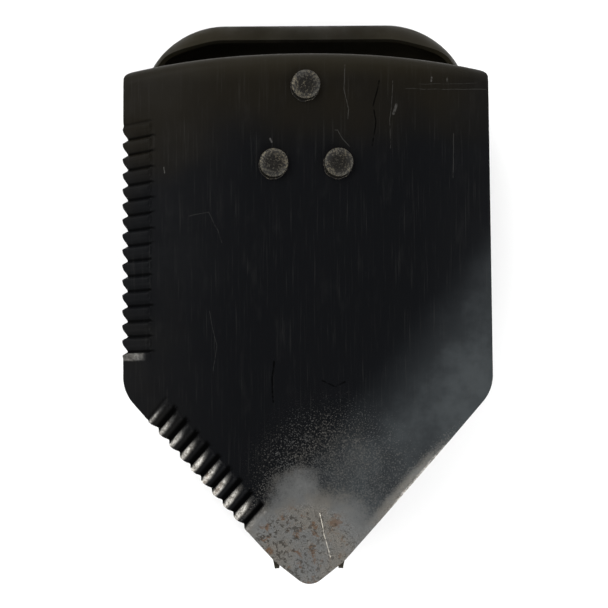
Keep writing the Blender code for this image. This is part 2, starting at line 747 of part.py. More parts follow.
def build_pivot(look):
    ear = NECK_HALF + GAP
    profile = [
        (0, ear + 0.0018),
        (0.0052, ear + 0.0018),
        (0.0064, ear + 0.0008),
        (0.0064, ear),
        (PIVOT_PIN, ear),
        (PIVOT_PIN, -ear),
        (0.0064, -ear),
        (0.0064, -ear - 0.0008),
        (0.0052, -ear - 0.0018),
        (0, -ear - 0.0018),
    ]
    along_x(turned("pivot_rivet", profile, 28, look), PIVOT_Y, AXIS_Z)
    for side, sign in (("left", -1), ("right", 1)):
        near, far = sorted((sign * (EYE_HALF + GAP), sign * (NECK_HALF - SHEET - GAP)))
        washer = pipe_profile(PIVOT_PIN + GAP, 0.0078, near, far)
        along_x(turned(f"pivot_washer_{side}", washer, 28, look, closed=True), PIVOT_Y, AXIS_Z)


def build_detent(look):
    y = PIVOT_Y + DETENT_OFFSET
    ball_x = KNUCKLE_RADIUS - 0.0004 - BALL_RADIUS
    for side, sign in (("left", -1), ("right", 1)):
        bm = bmesh.new()
        bmesh.ops.create_uvsphere(bm, u_segments=16, v_segments=8, radius=BALL_RADIUS)
        ball = add_mesh(f"detent_ball_{side}", bm, look)
        ball.location = (sign * ball_x, y, AXIS_Z)
    wire = 0.0004
    half = ball_x - BALL_RADIUS - GAP - wire
    turns, per_turn = 6, 10
    curve = bpy.data.curves.new("detent_spring", "CURVE")
    curve.dimensions = "3D"
    curve.bevel_depth = wire
    curve.bevel_resolution = 1
    curve.use_fill_caps = True
    spline = curve.splines.new("POLY")
    spline.points.add(turns * per_turn)
    for i, point in enumerate(spline.points):
        angle = math.tau * i / per_turn
        x = half * (2 * i / (turns * per_turn) - 1)
        point.co = (x, 0.0019 * math.cos(angle), 0.0019 * math.sin(angle), 1)
    spring = bpy.data.objects.new("detent_spring", curve)
    curve.materials.append(paint("detent_spring", "bare_steel"))
    spring.location = (0, y, AXIS_Z)
    shovel.objects.link(spring)


def hang_on(name, place, nodes):
    """An empty on a joint's axis, with the pieces that move about it."""
    joint = bpy.data.objects.new(name, None)
    joint.empty_display_size = 0.01
    joint.location = place
    shovel.objects.link(joint)
    bpy.context.view_layer.update()
    for node in nodes:
        made = bpy.data.objects[node]
        made.parent = joint
        made.matrix_parent_inverse = joint.matrix_world.inverted()


def main():
    build_blade("black_steel")
    build_bracket("black_steel")
    build_rivets("bare_steel")
    build_hinge_pin("bare_steel")
    build_tube("black_alloy")
    build_shaft_ends("bare_steel", "black_alloy")
    build_roll_pins("bare_steel")
    build_stop_ring("bare_steel")
    build_lock_nut("nut_black", "bare_steel")
    build_handle("black_alloy")
    build_pivot("bare_steel")
    build_detent("bare_steel")
    with_blade = ("blade", "blade_bracket", *RIVET_SPOTS, "hinge_pin", "hinge_pin_washer")
    with_blade += ("hinge_shim_left", "hinge_shim_right")
    with_handle = ("d_handle", "pivot_rivet", "pivot_washer_left", "pivot_washer_right")
    hang_on("blade_hinge", (0, HINGE_Y, AXIS_Z), with_blade)
    hang_on("handle_pivot", (0, PIVOT_Y, AXIS_Z), with_handle)
    hang_on("nut_axis", (0, NUT_FRONT_Y, AXIS_Z), ("lock_nut", "thrust_washer"))


clear_scene()
shovel = new_collection("camp_shovel")
cutters = new_collection("cutters")
main()
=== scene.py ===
import json
import math

import bmesh
import bpy
from mathutils import Matrix, Vector, geometry, noise


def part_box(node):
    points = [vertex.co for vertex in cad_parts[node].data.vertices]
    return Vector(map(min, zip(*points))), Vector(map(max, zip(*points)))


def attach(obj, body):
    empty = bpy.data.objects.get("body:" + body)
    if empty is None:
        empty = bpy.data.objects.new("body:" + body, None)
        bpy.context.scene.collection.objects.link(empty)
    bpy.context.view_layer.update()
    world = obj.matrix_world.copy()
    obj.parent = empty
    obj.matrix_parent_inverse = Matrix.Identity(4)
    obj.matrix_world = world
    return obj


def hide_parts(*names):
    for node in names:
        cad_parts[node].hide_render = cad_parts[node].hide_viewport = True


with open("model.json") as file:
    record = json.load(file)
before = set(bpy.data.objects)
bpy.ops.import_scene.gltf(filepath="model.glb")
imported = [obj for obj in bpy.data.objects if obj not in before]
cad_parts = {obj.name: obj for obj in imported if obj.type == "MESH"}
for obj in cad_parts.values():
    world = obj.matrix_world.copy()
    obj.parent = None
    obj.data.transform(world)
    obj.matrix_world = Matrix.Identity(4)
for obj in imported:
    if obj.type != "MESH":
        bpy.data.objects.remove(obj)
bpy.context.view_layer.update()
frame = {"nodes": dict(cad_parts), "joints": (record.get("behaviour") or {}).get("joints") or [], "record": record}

# --- Places and sizes, in metres, from the CAD frame ---

JOINTS = {joint["name"]: joint for joint in frame["joints"]}
HINGE = Vector(JOINTS["blade_fold"]["pos_m"])
PIVOT = Vector(JOINTS["handle_fold"]["pos_m"])
AXIS_Z = HINGE.z
SHAFT_AXIS = ((0, 0, AXIS_Z), (0, 1, 0))
BLADE_LOW, BLADE_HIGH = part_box("blade")
HANDLE_LOW, HANDLE_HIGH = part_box("d_handle")

# Blade.
SHEET = 0.002
BACK_Z = BLADE_HIGH.z
BLADE_TOP_Y = BLADE_HIGH.y
BLADE_HALF = (BLADE_HIGH.x - BLADE_LOW.x) / 2 - 0.00003
BLADE_HALF_TOP = BLADE_HALF - 0.0013
SHOULDER_Y = -0.0389
FLANK = (0.0142, -0.1082, 0.012)
APEX_Y = -0.11949
TIP_RADIUS = 0.007
TOP_CORNER_RADIUS = 0.0042
SHOULDER_RADIUS = 0.016
TOP_SAG = 0.0068
FLAT_HALF = 0.023
DISH_DEPTH = 0.008
DROOP_START_Y = 0.017
TIP_DROOP = 0.003
ROLL_RADIUS = 0.006
ROLL_ANGLE = math.radians(70)
MARGIN = 0.0115
MARGIN_BEND = math.radians(10)
CREASE = 0.003
DENT = 0.00022
DENT_ROOM = 0.00025
RIDGE = 0.0008
RIDGE_END = 0.0118  # how far inward from the edge the corrugations reach
CREST = 0.08  # where a ridge is highest, in pitches from its tooth's point
VALLEY = 0.80
NOTCH = 0.0016
SLOPE_NOTCH = 0.0010
SLOPE_SHIFT = 0.18  # pitches by which the notches along the slope come before the valleys
SIDE_PITCH = 0.00622
SIDE_NOTCHES = 15
SIDE_FIRST_Y = 0.0697
SIDE_SLANT = math.radians(8)
SLOPE_PITCH = 0.006575
SLOPE_NOTCHES = 9
SLOPE_FIRST = 0.01624
SLOPE_SLANT = math.radians(-7)
LINES_PER_PITCH = 16
GRID = 0.0014
GRID_MARGIN = 0.0016

# D handle.
GRIP_Y = HANDLE_HIGH.y
GRIP_HALF = 0.0345
GRIP_CORNER = 0.036
WALL_TOP = 0.0235
EAR_TOP = HANDLE_HIGH.z
NECK_START_Y = -0.0775
NECK_END_Y = HANDLE_LOW.y
NECK_HALF = 0.0155
NECK_TAPER = 0.0010
NECK_FLARE = 0.0004
NECK_ROLL = 0.004
ARM_ROLL = 0.0045
GRIP_ROLL = 0.004
ARM_LEAN = 0.0028
GRIP_LEAN = 0.0048
WALL_TURN = math.radians(62)
TUBE_RADIUS = 0.012
NECK_WEB_Z = AXIS_Z - TUBE_RADIUS - 0.0005 - SHEET
OPENING = ((0.0, -0.0511, 0.008), (0.0519, 0.0915, 0.016), (-0.0519, 0.0915, 0.016))
FLANGE_TOP = 0.007
FLANGE_BEND = 0.0022
DETENT_OFFSET = 0.011
DETENT_HOLE = 0.002
DETENT_BORE = 0.0028

# Bracket, pins and shaft.
GAP = 0.0003
PLATE = 0.003
PLATE_Z = BACK_Z - SHEET - GAP - PLATE
EAR_INNER = 0.0131
FLAT_DISTANCE = 0.0105
PLATE_SIDE = (
    (0.0166, 0.0925, 0.003),
    (0.0166, 0.0710, 0.012),
    (0.0225, 0.0570, 0.008),
    (0.0150, 0.0420, 0.007),
)
THROUGH = 0.03  # half the length of a drill that goes right through
RIVET_SHANK = 0.0032
RIVET_TAIL = 0.0055
RIVET_TAIL_HEIGHT = 0.0017
BURR_SHIFT = Vector((-0.0004, -0.0009))
BURR_RAGGED = 0.00035
HINGE_PIN = 0.0045
HINGE_WASHER = 0.0074
HINGE_SHIM = 0.0092
PIVOT_PIN = 0.0040
PIVOT_WASHER = 0.0078
FRONT_EYE = 0.0117
REAR_EYE = 0.0119
EYE_HALF = 0.0118
NECK_LENGTH = 0.0126
SPIGOT_RADIUS = 0.0097
TUBE_WALL = 0.002
TUBE_FRONT_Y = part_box("shaft_tube")[1].y
SHAFT_PIN = 0.0019
SHAFT_PIN_BORE = 0.0011
STOP_RING = 0.0142
STOP_RING_OPENING = 0.0035
NUT_RADIUS = 0.0205
NUT_FLUTES = 12
FLUTE_RADIUS = 0.0048
FLUTE_DISTANCE = 0.0240
SEAT_RADIUS = 0.0183
SEAT_DEPTH = 0.0013
THRUST_WASHER = 0.0180
THREAD_PITCH = 0.003
THREAD_DEPTH = 0.0007


def middle(node):
    low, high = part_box(node)
    return (low + high) / 2


def smoothstep(low, high, value):
    share = min(1.0, max(0.0, (value - low) / (high - low)))
    return share * share * (3 - 2 * share)


# --- Procedural materials ---


class Look:
    """A node material around one Principled shader, built from points in the row frame."""

    def __init__(self, name):
        self.material = bpy.data.materials.new(name)
        self.material.use_nodes = True
        self.tree = self.material.node_tree
        self.shader = self.tree.nodes["Principled BSDF"]
        self.place = self.tree.nodes.new("ShaderNodeTexCoord").outputs["Object"]

    def node(self, kind, inputs=(), output=0, **settings):
        made = self.tree.nodes.new(kind)
        for key, value in settings.items():
            setattr(made, key, value)
        for key, value in dict(inputs).items():
            if isinstance(value, bpy.types.NodeSocket):
                self.tree.links.new(value, made.inputs[key])
            else:
                made.inputs[key].default_value = value
        return made.outputs[output]

    def math(self, operation, a, b=0.5, c=0.5):
        return self.node("ShaderNodeMath", {0: a, 1: b, 2: c}, operation=operation)

    def vector(self, operation, a, b, key=1, output=0):
        return self.node("ShaderNodeVectorMath", {0: a, key: b}, output, operation=operation)

    def times(self, a, b):
        return self.math("MULTIPLY", a, b)

    def most(self, a, b):
        return self.math("MAXIMUM", a, b)

    def less(self, a, b):
        return self.math("SUBTRACT", a, b)

    def band(self, value, low, high, to_low=0.0, to_high=1.0):
        """Maps value smoothly from low..high to to_low..to_high."""
        inputs = {0: value, 1: low, 2: high, 3: to_low, 4: to_high}
        return self.node("ShaderNodeMapRange", inputs, interpolation_type="SMOOTHSTEP")

    def stretched(self, scale):
        return self.node("ShaderNodeMapping", {"Vector": self.place, "Scale": scale})

    def noise(self, scale, detail=4.0, roughness=0.55, vector=None):
        inputs = {"Vector": vector or self.place, "Scale": scale, "Detail": detail, "Roughness": roughness}
        return self.node("ShaderNodeTexNoise", inputs)

    def mix(self, share, a, b):
        inputs = {0: share, 6: a, 7: b}
        return self.node("ShaderNodeMix", inputs, output=2, data_type="RGBA")

    def attribute(self, name):
        return self.node("ShaderNodeAttribute", output=2, attribute_name=name)

    def line(self, start, end, width, place):
        """A thin scratch: 1 on the segment between two (x, y) points, 0 away from it."""
        a, b = Vector((*start, 0)), Vector((*end, 0))
        flat = self.vector("MULTIPLY", place, (1, 1, 0))
        arm = self.vector("SUBTRACT", flat, a)
        dot = self.vector("DOT_PRODUCT", arm, b - a, output=1)
        share = self.node("ShaderNodeClamp", {0: self.math("DIVIDE", dot, (b - a).length_squared)})
        near = self.vector("SCALE", b - a, share, key=3)
        away = self.vector("DISTANCE", arm, near, output=1)
        return self.band(away, width, width * 0.4)

    def wander(self):
        """The row-frame place, shifted a little so that a scratch isn't ruler straight."""
        texture = self.node("ShaderNodeTexNoise", {"Vector": self.place, "Scale": 90.0, "Detail": 2.0}, 1)
        centred = self.vector("SUBTRACT", texture, (0.5, 0.5, 0.5))
        return self.vector("ADD", self.place, self.vector("SCALE", centred, 0.0012, key=3))

    def marks(self, marks):
        """The strength of several marks, each a chain of (x, y) points, a half width and a strength."""
        place = self.wander()
        breaks = self.band(self.noise(420, 3, 0.7), 0.36, 0.54, 0.15, 1.0)
        total = None
        for points, width, strength in marks:
            for start, end in zip(points, points[1:]):
                mark = self.times(self.line(start, end, width, place), strength)
                total = self.most(total, mark) if total else mark
        return self.times(total, breaks)

    def set(self, **inputs):
        """Sets or links the shader's inputs, whose names are written with underscores."""
        for key, value in inputs.items():
            socket = self.shader.inputs[key.replace("_", " ").title().replace("Ior", "IOR")]
            if isinstance(value, bpy.types.NodeSocket):
                self.tree.links.new(value, socket)
            else:
                socket.default_value = value

    def bump(self, height, distance, strength=1.0, normal=None):
        inputs = {"Height": height, "Distance": distance, "Strength": strength}
        if normal:
            inputs["Normal"] = normal
        return self.node("ShaderNodeBump", inputs)


BLACK = (0.0024, 0.0026, 0.0031, 1)
BROWN = (0.0056, 0.0047, 0.0031, 1)
BLUE = (0.0036, 0.0046, 0.0058, 1)
# Grey of the painted sheen: a soft lighter patch standing in for the reflection at the blade's lower right.
PAINTED_SHEEN = (0.031, 0.035, 0.037, 1)
# Olive: the handle's own tint; on the blade's rolled edge it is a painted reflection.
OLIVE = (0.0135, 0.0115, 0.0068, 1)
# Near black for the painted shade in the corrugation valleys and for the dark cracks.
CREVICE = (0.0008, 0.0008, 0.0008, 1)
SCUFF = (0.045, 0.044, 0.041, 1)
SCRATCHED = (0.062, 0.061, 0.057, 1)
BRIGHT_SCRATCH = (0.62, 0.58, 0.50, 1)
CHIP = (0.09, 0.085, 0.075, 1)
SPECK = (0.16, 0.15, 0.13, 1)
DARK_OLIVE = (0.0085, 0.0074, 0.0046, 1)
NUT_BLACK = (0.004, 0.004, 0.004, 1)
NUT_GREY = (0.007, 0.007, 0.007, 1)
STEEL = (0.40, 0.385, 0.36, 1)
WARM_STEEL = (0.142, 0.133, 0.118, 1)
COOL_STEEL = (0.128, 0.130, 0.128, 1)
DARK_STEEL = (0.21, 0.20, 0.19, 1)
GRIT = (0.055, 0.055, 0.054, 1)
RIDGE_SHADE = (0.16, 0.150, 0.13, 1)
RIDGE_STEEL = (0.56, 0.54, 0.50, 1)
RUST = (0.085, 0.045, 0.022, 1)
PIT = (0.018, 0.016, 0.013, 1)
RIVET_BROWN = (0.074, 0.065, 0.047, 1)
RIVET_GREY = (0.048, 0.045, 0.037, 1)
RIVET_GRAIN = (0.0050, 0.0046, 0.0038, 1)
PALE = (0.86, 0.86, 0.86, 1)
PALER = (0.88, 0.88, 0.88, 1)

# Marks on the blade's back: points of each mark (x, y), half its width, and how strong it is.
SCRATCHES = (
    (((0.0160, 0.0939), (0.0155, 0.0838), (0.0172, 0.0757), (0.0169, 0.0717)), 0.00022, 0.28),
    (((0.0352, 0.0871), (0.0348, 0.0772), (0.0341, 0.0717), (0.0341, 0.0600)), 0.00020, 0.22),
    (((0.0368, 0.0778), (0.0357, 0.0742)), 0.00075, 0.42),
    (((0.0600, 0.0660), (0.0597, 0.0480)), 0.00020, 0.22),
    (((0.0405, 0.0839), (0.0740, 0.0843)), 0.00018, 0.20),
    (((0.0460, 0.0861), (0.0700, 0.0866)), 0.00016, 0.14),
    (((0.0117, 0.0674), (0.0129, 0.0673), (0.0149, 0.0636), (0.0177, 0.0606)), 0.00022, 0.28),
    (((0.0512, 0.0888), (0.0511, 0.0873)), 0.00040, 0.50),
    (((0.0578, 0.0886), (0.0577, 0.0872)), 0.00035, 0.40),
    (((-0.0148, 0.0640), (-0.0140, 0.0626)), 0.00045, 0.60),
    (((-0.0582, 0.0528), (-0.0580, 0.0506)), 0.00030, 0.60),
    (((-0.0480, 0.0330), (-0.0400, 0.0345), (-0.0360, 0.0270), (-0.0345, 0.0220)), 0.00022, 0.14),
    (((-0.0400, -0.0060), (-0.0370, -0.0200), (-0.0385, -0.0310)), 0.00020, 0.14),
)
CRACKS = (
    (((0.0298, 0.0871), (0.0274, 0.0772), (0.0284, 0.0711), (0.0268, 0.0609)), 0.00038, 0.95),
    (((-0.0136, -0.0265), (-0.0146, -0.0330), (-0.0140, -0.0430)), 0.00055, 0.90),
    (((0.0060, -0.0345), (0.0110, -0.0370), (0.0150, -0.0350)), 0.00050, 0.80),
)
TIP_SCRATCH = (((0.0044, -0.0885), (0.0062, -0.0975), (0.0088, -0.1062)), 0.00022, 0.60)


def painted(look, across, along, streaks):
    """The paint: brown at the upper left and blue at the lower right as painted reflection tints, a painted grey
    sheen at the lower right, and olive on the rolled edge as a painted reflection.
    """
    patches = look.noise(16, 3)
    # Painted reflection tints: brown toward the upper left, blue toward the lower right, over random patches.
    brown = look.math("ADD", look.band(along, 0.02, 0.10, 0, 0.45), look.band(across, 0.00, -0.075, 0, 0.30))
    brown = look.band(look.math("ADD", brown, patches), 0.66, 1.15)
    blue = look.band(look.less(across, look.times(along, 0.8)), 0.03, 0.10)
    colour = look.mix(look.times(blue, 0.6), look.mix(brown, BLACK, BROWN), BLUE)
    # Painted reflection: a lighter olive band on the rolled top edge.
    colour = look.mix(look.band(along, 0.086, 0.0985, 0, 0.62), colour, OLIVE)
    # Painted sheen: a soft grey patch at the lower right stands in for the reflection there.
    cloud = look.band(look.noise(26, 5, 0.65), 0.36, 0.66)
    sheen_share = look.times(look.band(blue, 0.15, 0.95), look.math("MULTIPLY_ADD", cloud, 0.6, 0.4))
    colour = look.mix(sheen_share, colour, PAINTED_SHEEN)
    smears = look.band(look.noise(1, 4, 0.6, look.stretched((170, 50, 50))), 0.55, 0.80, 0, 0.05)
    colour = look.mix(look.math("ADD", look.band(streaks, 0.55, 0.78, 0, 0.13), smears), colour, SCUFF)
    return look.mix(look.marks(SCRATCHES), colour, SCRATCHED)


def bared(look, wear_and_sheen, bare_and_highlight, valley_shade, speckle):
    """Where paint is gone, and where the painted sheen and painted highlights show as bright metal: softly at the
    tip, in grains around it, raggedly on the ridges, but not in the painted shade of the valleys.
    """
    ragged = look.less(look.noise(300, 5, 0.72), 0.5)
    worn = look.math("MULTIPLY_ADD", look.less(speckle, 0.5), 0.60, wear_and_sheen)
    soft = look.band(look.math("MULTIPLY_ADD", ragged, 0.45, worn), 0.22, 0.86)
    grains = look.band(look.math("MULTIPLY_ADD", wear_and_sheen, 0.34, speckle), 0.62, 0.74)
    grains = look.times(grains, look.band(wear_and_sheen, 0.02, 0.22, 0, 0.42))
    flank = look.band(look.math("MULTIPLY_ADD", ragged, 0.55, bare_and_highlight), 0.16, 0.95)
    return look.times(look.most(look.most(soft, grains), flank), look.less(1.0, valley_shade))


def worn_steel(look, across, wear_and_sheen, bare_and_highlight, speckle):
    """The bared steel's colour with its rust and pits, and the share of pits."""
    tone = look.mix(look.band(look.noise(60, 4, 0.6), 0.38, 0.62), COOL_STEEL, WARM_STEEL)
    tone = look.mix(look.band(speckle, 0.35, 0.65, 0, 0.45), tone, GRIT)
    ridge_tone = look.mix(look.band(look.noise(700, 4, 0.7), 0.35, 0.62), RIDGE_SHADE, RIDGE_STEEL)
    tone = look.mix(look.band(bare_and_highlight, 0.25, 0.8), tone, ridge_tone)
    most_worn = look.most(look.band(wear_and_sheen, 0.66, 0.97), look.times(bare_and_highlight, 0.6))
    corroded = look.times(most_worn, look.band(across, 0.016, -0.014, 0.70, 1.0))
    pits = look.times(look.band(look.noise(560, 4, 0.75), 0.50, 0.57), corroded)
    rusty = look.times(look.band(look.noise(200, 5, 0.78), 0.54, 0.62), corroded)
    tone = look.mix(look.times(rusty, 0.85), tone, RUST)
    return look.mix(look.times(pits, 0.85), tone, PIT), pits


def blade_paint():
    """Used black paint, worn to grey steel where the blade's attributes say so; those attributes also hold a
    painted sheen, painted highlights on the ridges and the rolled rim, and painted shade in the valleys.
    """
    look = Look("blade_paint")
    split = look.tree.nodes.new("ShaderNodeSeparateXYZ")
    look.tree.links.new(look.place, split.inputs[0])
    across, along = split.outputs["X"], split.outputs["Y"]
    wear_and_sheen, bare_and_highlight, valley_shade = (look.attribute(name) for name in ("wear_and_sheen", "bare_and_highlight", "valley_shade"))
    streaks = look.noise(1, 3, 0.6, look.stretched((1500, 40, 40)))
    speckle = look.noise(1700, 2, 0.6)
    metal = bared(look, wear_and_sheen, bare_and_highlight, valley_shade, speckle)
    steel, pits = worn_steel(look, across, wear_and_sheen, bare_and_highlight, speckle)
    colour = look.mix(metal, painted(look, across, along, streaks), steel)
    colour = look.mix(look.marks((TIP_SCRATCH,)), colour, BRIGHT_SCRATCH)
    # Painted shade: the corrugation valleys, with the dark cracks, turn near black and lose their shine.
    dark = look.most(valley_shade, look.marks(CRACKS))
    colour = look.mix(look.times(dark, 0.92), colour, CREVICE)
    smudges = look.noise(50, 4, 0.6)
    paint_rough = look.band(smudges, 0.3, 0.7, 0.39, 0.43)
    rough = look.mix(metal, paint_rough, look.band(smudges, 0.3, 0.7, 0.42, 0.54))
    shine = look.times(look.less(1.0, dark), look.band(smudges, 0.3, 0.7, 0.042, 0.028))
    metallic = look.times(metal, look.less(0.6, look.times(pits, 0.6)))
    look.set(Base_Color=colour, Roughness=rough, Metallic=metallic, Specular_IOR_Level=shine)
    fine = look.bump(speckle, 0.00003, 0.5)
    uneven = look.bump(look.less(1.0, pits), 0.00010, 0.7, fine)
    look.set(Normal=look.bump(streaks, 0.00003, 0.4, uneven))
    return look


def black_paint(name, base, tint, roughness, scuffs=0.2, specks=()):
    """Satin black paint with faint scuffs and a few specks of dust or chipped paint."""
    look = Look(name)
    patches = look.noise(20, 3)
    streaks = look.noise(1, 3, 0.6, look.stretched((500, 300, 60)))
    smudges = look.noise(70, 4, 0.6)
    chips = look.noise(900, 3, 0.7)
    colour = look.mix(look.band(patches, 0.38, 0.64), base, tint)
    colour = look.mix(look.band(streaks, 0.60, 0.78, 0, scuffs), colour, SCUFF)
    colour = look.mix(look.band(chips, 0.74, 0.80, 0, 0.6), colour, CHIP)
    if specks:
        colour = look.mix(look.marks(specks), colour, SPECK)
    look.set(Base_Color=colour, Roughness=look.band(smudges, 0.3, 0.7, roughness - 0.05, roughness + 0.08))
    look.set(Specular_IOR_Level=look.band(smudges, 0.3, 0.7, 0.05, 0.02))
    look.set(Normal=look.bump(look.noise(1400, 2, 0.6), 0.00003, 0.6))
    return look


def bare_metal(name, colour, dark, roughness, rust):
    """Bare steel with dark grain and spots of rust."""
    look = Look(name)
    grain = look.noise(1100, 4, 0.65)
    patches = look.noise(130, 4, 0.6)
    shade = look.mix(look.band(grain, 0.25, 0.65), dark, colour)
    spots = look.times(look.band(look.noise(260, 5, 0.7), 0.56, 0.68), rust)
    shade = look.mix(spots, shade, RUST)
    look.set(Base_Color=shade, Roughness=look.band(patches, 0.3, 0.7, roughness - 0.08, roughness + 0.12))
    look.set(Metallic=look.less(0.95, look.times(spots, 0.8)))
    look.set(Normal=look.bump(grain, 0.00003, 0.6))
    return look


def rivet_metal():
    """Hammered rivet heads: coarse brown-grey grain, darker in the middle of each face, with a painted highlight
    toward the rim and painted shade down the side.
    """
    look = Look("rivet_metal")
    grain = look.noise(1250, 3, 0.75)
    rim = look.attribute("rim")
    light = look.mix(look.band(look.noise(180, 3), 0.4, 0.6), RIVET_BROWN, RIVET_GREY)
    # Painted highlight and shade: lighter toward each face's rim, darkest down the side.
    low = look.math("MULTIPLY_ADD", rim, -0.10, 0.575)
    share = look.band(look.less(grain, low), -0.04, 0.09)
    colour = look.mix(share, RIVET_GRAIN, light)
    look.set(Base_Color=colour, Roughness=look.band(grain, 0.3, 0.7, 0.62, 0.42))
    # Painted highlight: more shine toward the rim, least down the side.
    shine = look.band(rim, -0.5, 1.0, 0.02, 0.20)
    look.set(Metallic=look.times(share, 0.6), Specular_IOR_Level=shine)
    look.set(Normal=look.bump(grain, 0.00012, 0.8))
    return look


# --- Meshes ---


def add(name, data):
    made = bpy.data.objects.new(name, data)
    bpy.context.scene.collection.objects.link(made)
    return made


def loose(bm):
    """An object that isn't registered yet, such as a cutter or a shape to be joined."""
    mesh = bpy.data.meshes.new("loose")
    bm.to_mesh(mesh)
    bm.free()
    return add("loose", mesh)


def apply_modifiers(made):
    bpy.context.view_layer.update()
    evaluated = made.evaluated_get(bpy.context.evaluated_depsgraph_get())
    mesh = bpy.data.meshes.new_from_object(evaluated)
    made.modifiers.clear()
    made.data = mesh


def carve(made, operation, *others):
    """Joins or cuts with other objects, which are used up."""
    for other in others:
        step = made.modifiers.new("carve", "BOOLEAN")
        step.operation = operation
        step.object = other
    apply_modifiers(made)
    for other in others:
        bpy.data.objects.remove(other)
    return made


def register(made, name, look, body, nodes, sharp=35, bevel=0.0):
    made.name = name
    made.data.name = name
    made.data.materials.clear()
    made.data.materials.append(look.material)
    made.data.shade_smooth()
    made.data.set_sharp_from_angle(angle=math.radians(sharp))
    if bevel:
        soften = made.modifiers.new("edges", "BEVEL")
        soften.width = bevel
        soften.segments = 2
        soften.limit_method = "ANGLE"
        soften.angle_limit = math.radians(40)
        soften.harden_normals = True
    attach(made, body)
    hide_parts(*nodes)
    return made


def grid_faces(bm, grid, close_rows=False, close_columns=False):
    rows = grid + [grid[0]] if close_rows else grid
    for above, below in zip(rows, rows[1:]):
        width = len(above) if close_columns else len(above) - 1
        for i in range(width):
            j = (i + 1) % len(above)
            corners = [above[i], above[j], below[j], below[i]]
            unique = list(dict.fromkeys(corners))
            if len(unique) > 2:
                bm.faces.new(unique)


def lathe(profile, centre, axis, segments=64, shape=None, arc=math.tau):
    """A closed solid of (radius, along) points turned about an axis; shape can change the radius by angle."""
    along = Vector(axis)
    side = Vector((0, 0, 1)) if abs(along.z) < 0.5 else Vector((1, 0, 0))
    other = along.cross(side)
    whole = arc > 6.28
    bm = bmesh.new()
    grid = []
    for step in range(segments if whole else segments + 1):
        angle = math.tau / 2 + arc * (step / segments - 0.5)
        row = []
        for radius, height in profile:
            if shape:
                radius = shape(radius, height, angle)
            out = side * math.cos(angle) + other * math.sin(angle)
            row.append(bm.verts.new(Vector(centre) + along * height + out * radius))
        grid.append(row)
    grid_faces(bm, grid, close_rows=whole)
    bmesh.ops.remove_doubles(bm, verts=bm.verts, dist=0.000002)
    if not whole:
        bmesh.ops.holes_fill(bm, edges=bm.edges)
    bmesh.ops.recalc_face_normals(bm, faces=bm.faces)
    return loose(bm)


def rod(radius, start, end, centre, axis, segments=48):
    return lathe([(0, end), (radius, end), (radius, start), (0, start)], centre, axis, segments)


def drill(radius, centre, axis, segments=48):
    return rod(radius, -THROUGH, THROUGH, centre, axis, segments)


def plate(outline, bottom, top):
    """A flat plate with an (x, y) outline."""
    bm = bmesh.new()
    lower = [bm.verts.new((p.x, p.y, bottom)) for p in outline]
    upper = [bm.verts.new((p.x, p.y, top)) for p in outline]
    bm.faces.new(lower)
    bm.faces.new(upper)
    for i in range(len(outline)):
        bm.faces.new((lower[i - 1], lower[i], upper[i], upper[i - 1]))
    bmesh.ops.recalc_face_normals(bm, faces=bm.faces)
    return loose(bm)


def rounded_profile(points, radius, steps=3):
    """Rounds the corners of a (radius, along) profile whose ends lie on the axis or meet."""
    closed = points[0] == points[-1]
    pts = [Vector(p) for p in (points[:-1] if closed else points)]
    count = len(pts)
    made = []
    for i, point in enumerate(pts):
        if not closed and i in (0, count - 1):
            made.append(tuple(point))
            continue
        before, after = pts[i - 1], pts[(i + 1) % count]
        cut = min(radius, (before - point).length * 0.45, (after - point).length * 0.45)
        start = point + (before - point).normalized() * cut
        end = point + (after - point).normalized() * cut
        for step in range(steps + 1):
            t = step / steps
            made.append(tuple(start * (1 - t) ** 2 + point * (2 * t * (1 - t)) + end * t * t))
    if closed:
        made.append(made[0])
    return made


def corner_arc(before, corner, after, radius, segments):
    to_before = (before - corner).normalized()
    to_after = (after - corner).normalized()
    half = to_before.angle(to_after) / 2
    start = corner + to_before * (radius / math.tan(half))
    centre = corner + (to_before + to_after).normalized() * (radius / math.sin(half))
    arm = start - centre
    turn = math.pi - 2 * half
    if to_before.x * to_after.y - to_before.y * to_after.x > 0:
        turn = -turn
    return [centre + Matrix.Rotation(turn * i / segments, 2) @ arm for i in range(segments + 1)]


def rounded(corners, segments=5):
    points = [Vector((x, y)) for x, y, _ in corners]
    count = len(points)
    return [
        corner_arc(points[i - 1], points[i], points[(i + 1) % count], corners[i][2], segments)
        for i in range(count)
    ]


# --- Blade ---


SHOULDER = Vector((-BLADE_HALF, SHOULDER_Y))
SLOPE_DIRECTION = (Vector((-FLANK[0], FLANK[1])) - SHOULDER).normalized()
SLOPE_INWARD = Vector((-SLOPE_DIRECTION.y, SLOPE_DIRECTION.x))
LEFT_SIDE, LEFT_SLOPE = 1, 2  # the toothed stretches of the blank's outline


def top_edge_y(x):
    return BLADE_TOP_Y - TOP_SAG * (x / BLADE_HALF_TOP) ** 2


def side_x(y):
    share = (y - SHOULDER_Y) / (BLADE_TOP_Y - SHOULDER_Y)
    return BLADE_HALF + (BLADE_HALF_TOP - BLADE_HALF) * share


def margin_distances(x, y):
    return x + side_x(y), (Vector((x, y)) - SHOULDER).dot(SLOPE_INWARD)


def corrugation(steps, notches):
    """Height of the corrugations from -1 to 1, fading out at both ends of the row."""
    inside = smoothstep(-0.30, 0.12, steps) * (1 - smoothstep(notches - 0.10, notches + 0.35, steps))
    if inside <= 0:
        return 0.0
    phase = (steps - CREST) % 1 + CREST
    if phase < VALLEY:
        return inside * (1 - 2 * smoothstep(0.28, VALLEY, phase))
    return inside * (2 * smoothstep(VALLEY, 1 + CREST, phase) - 1)


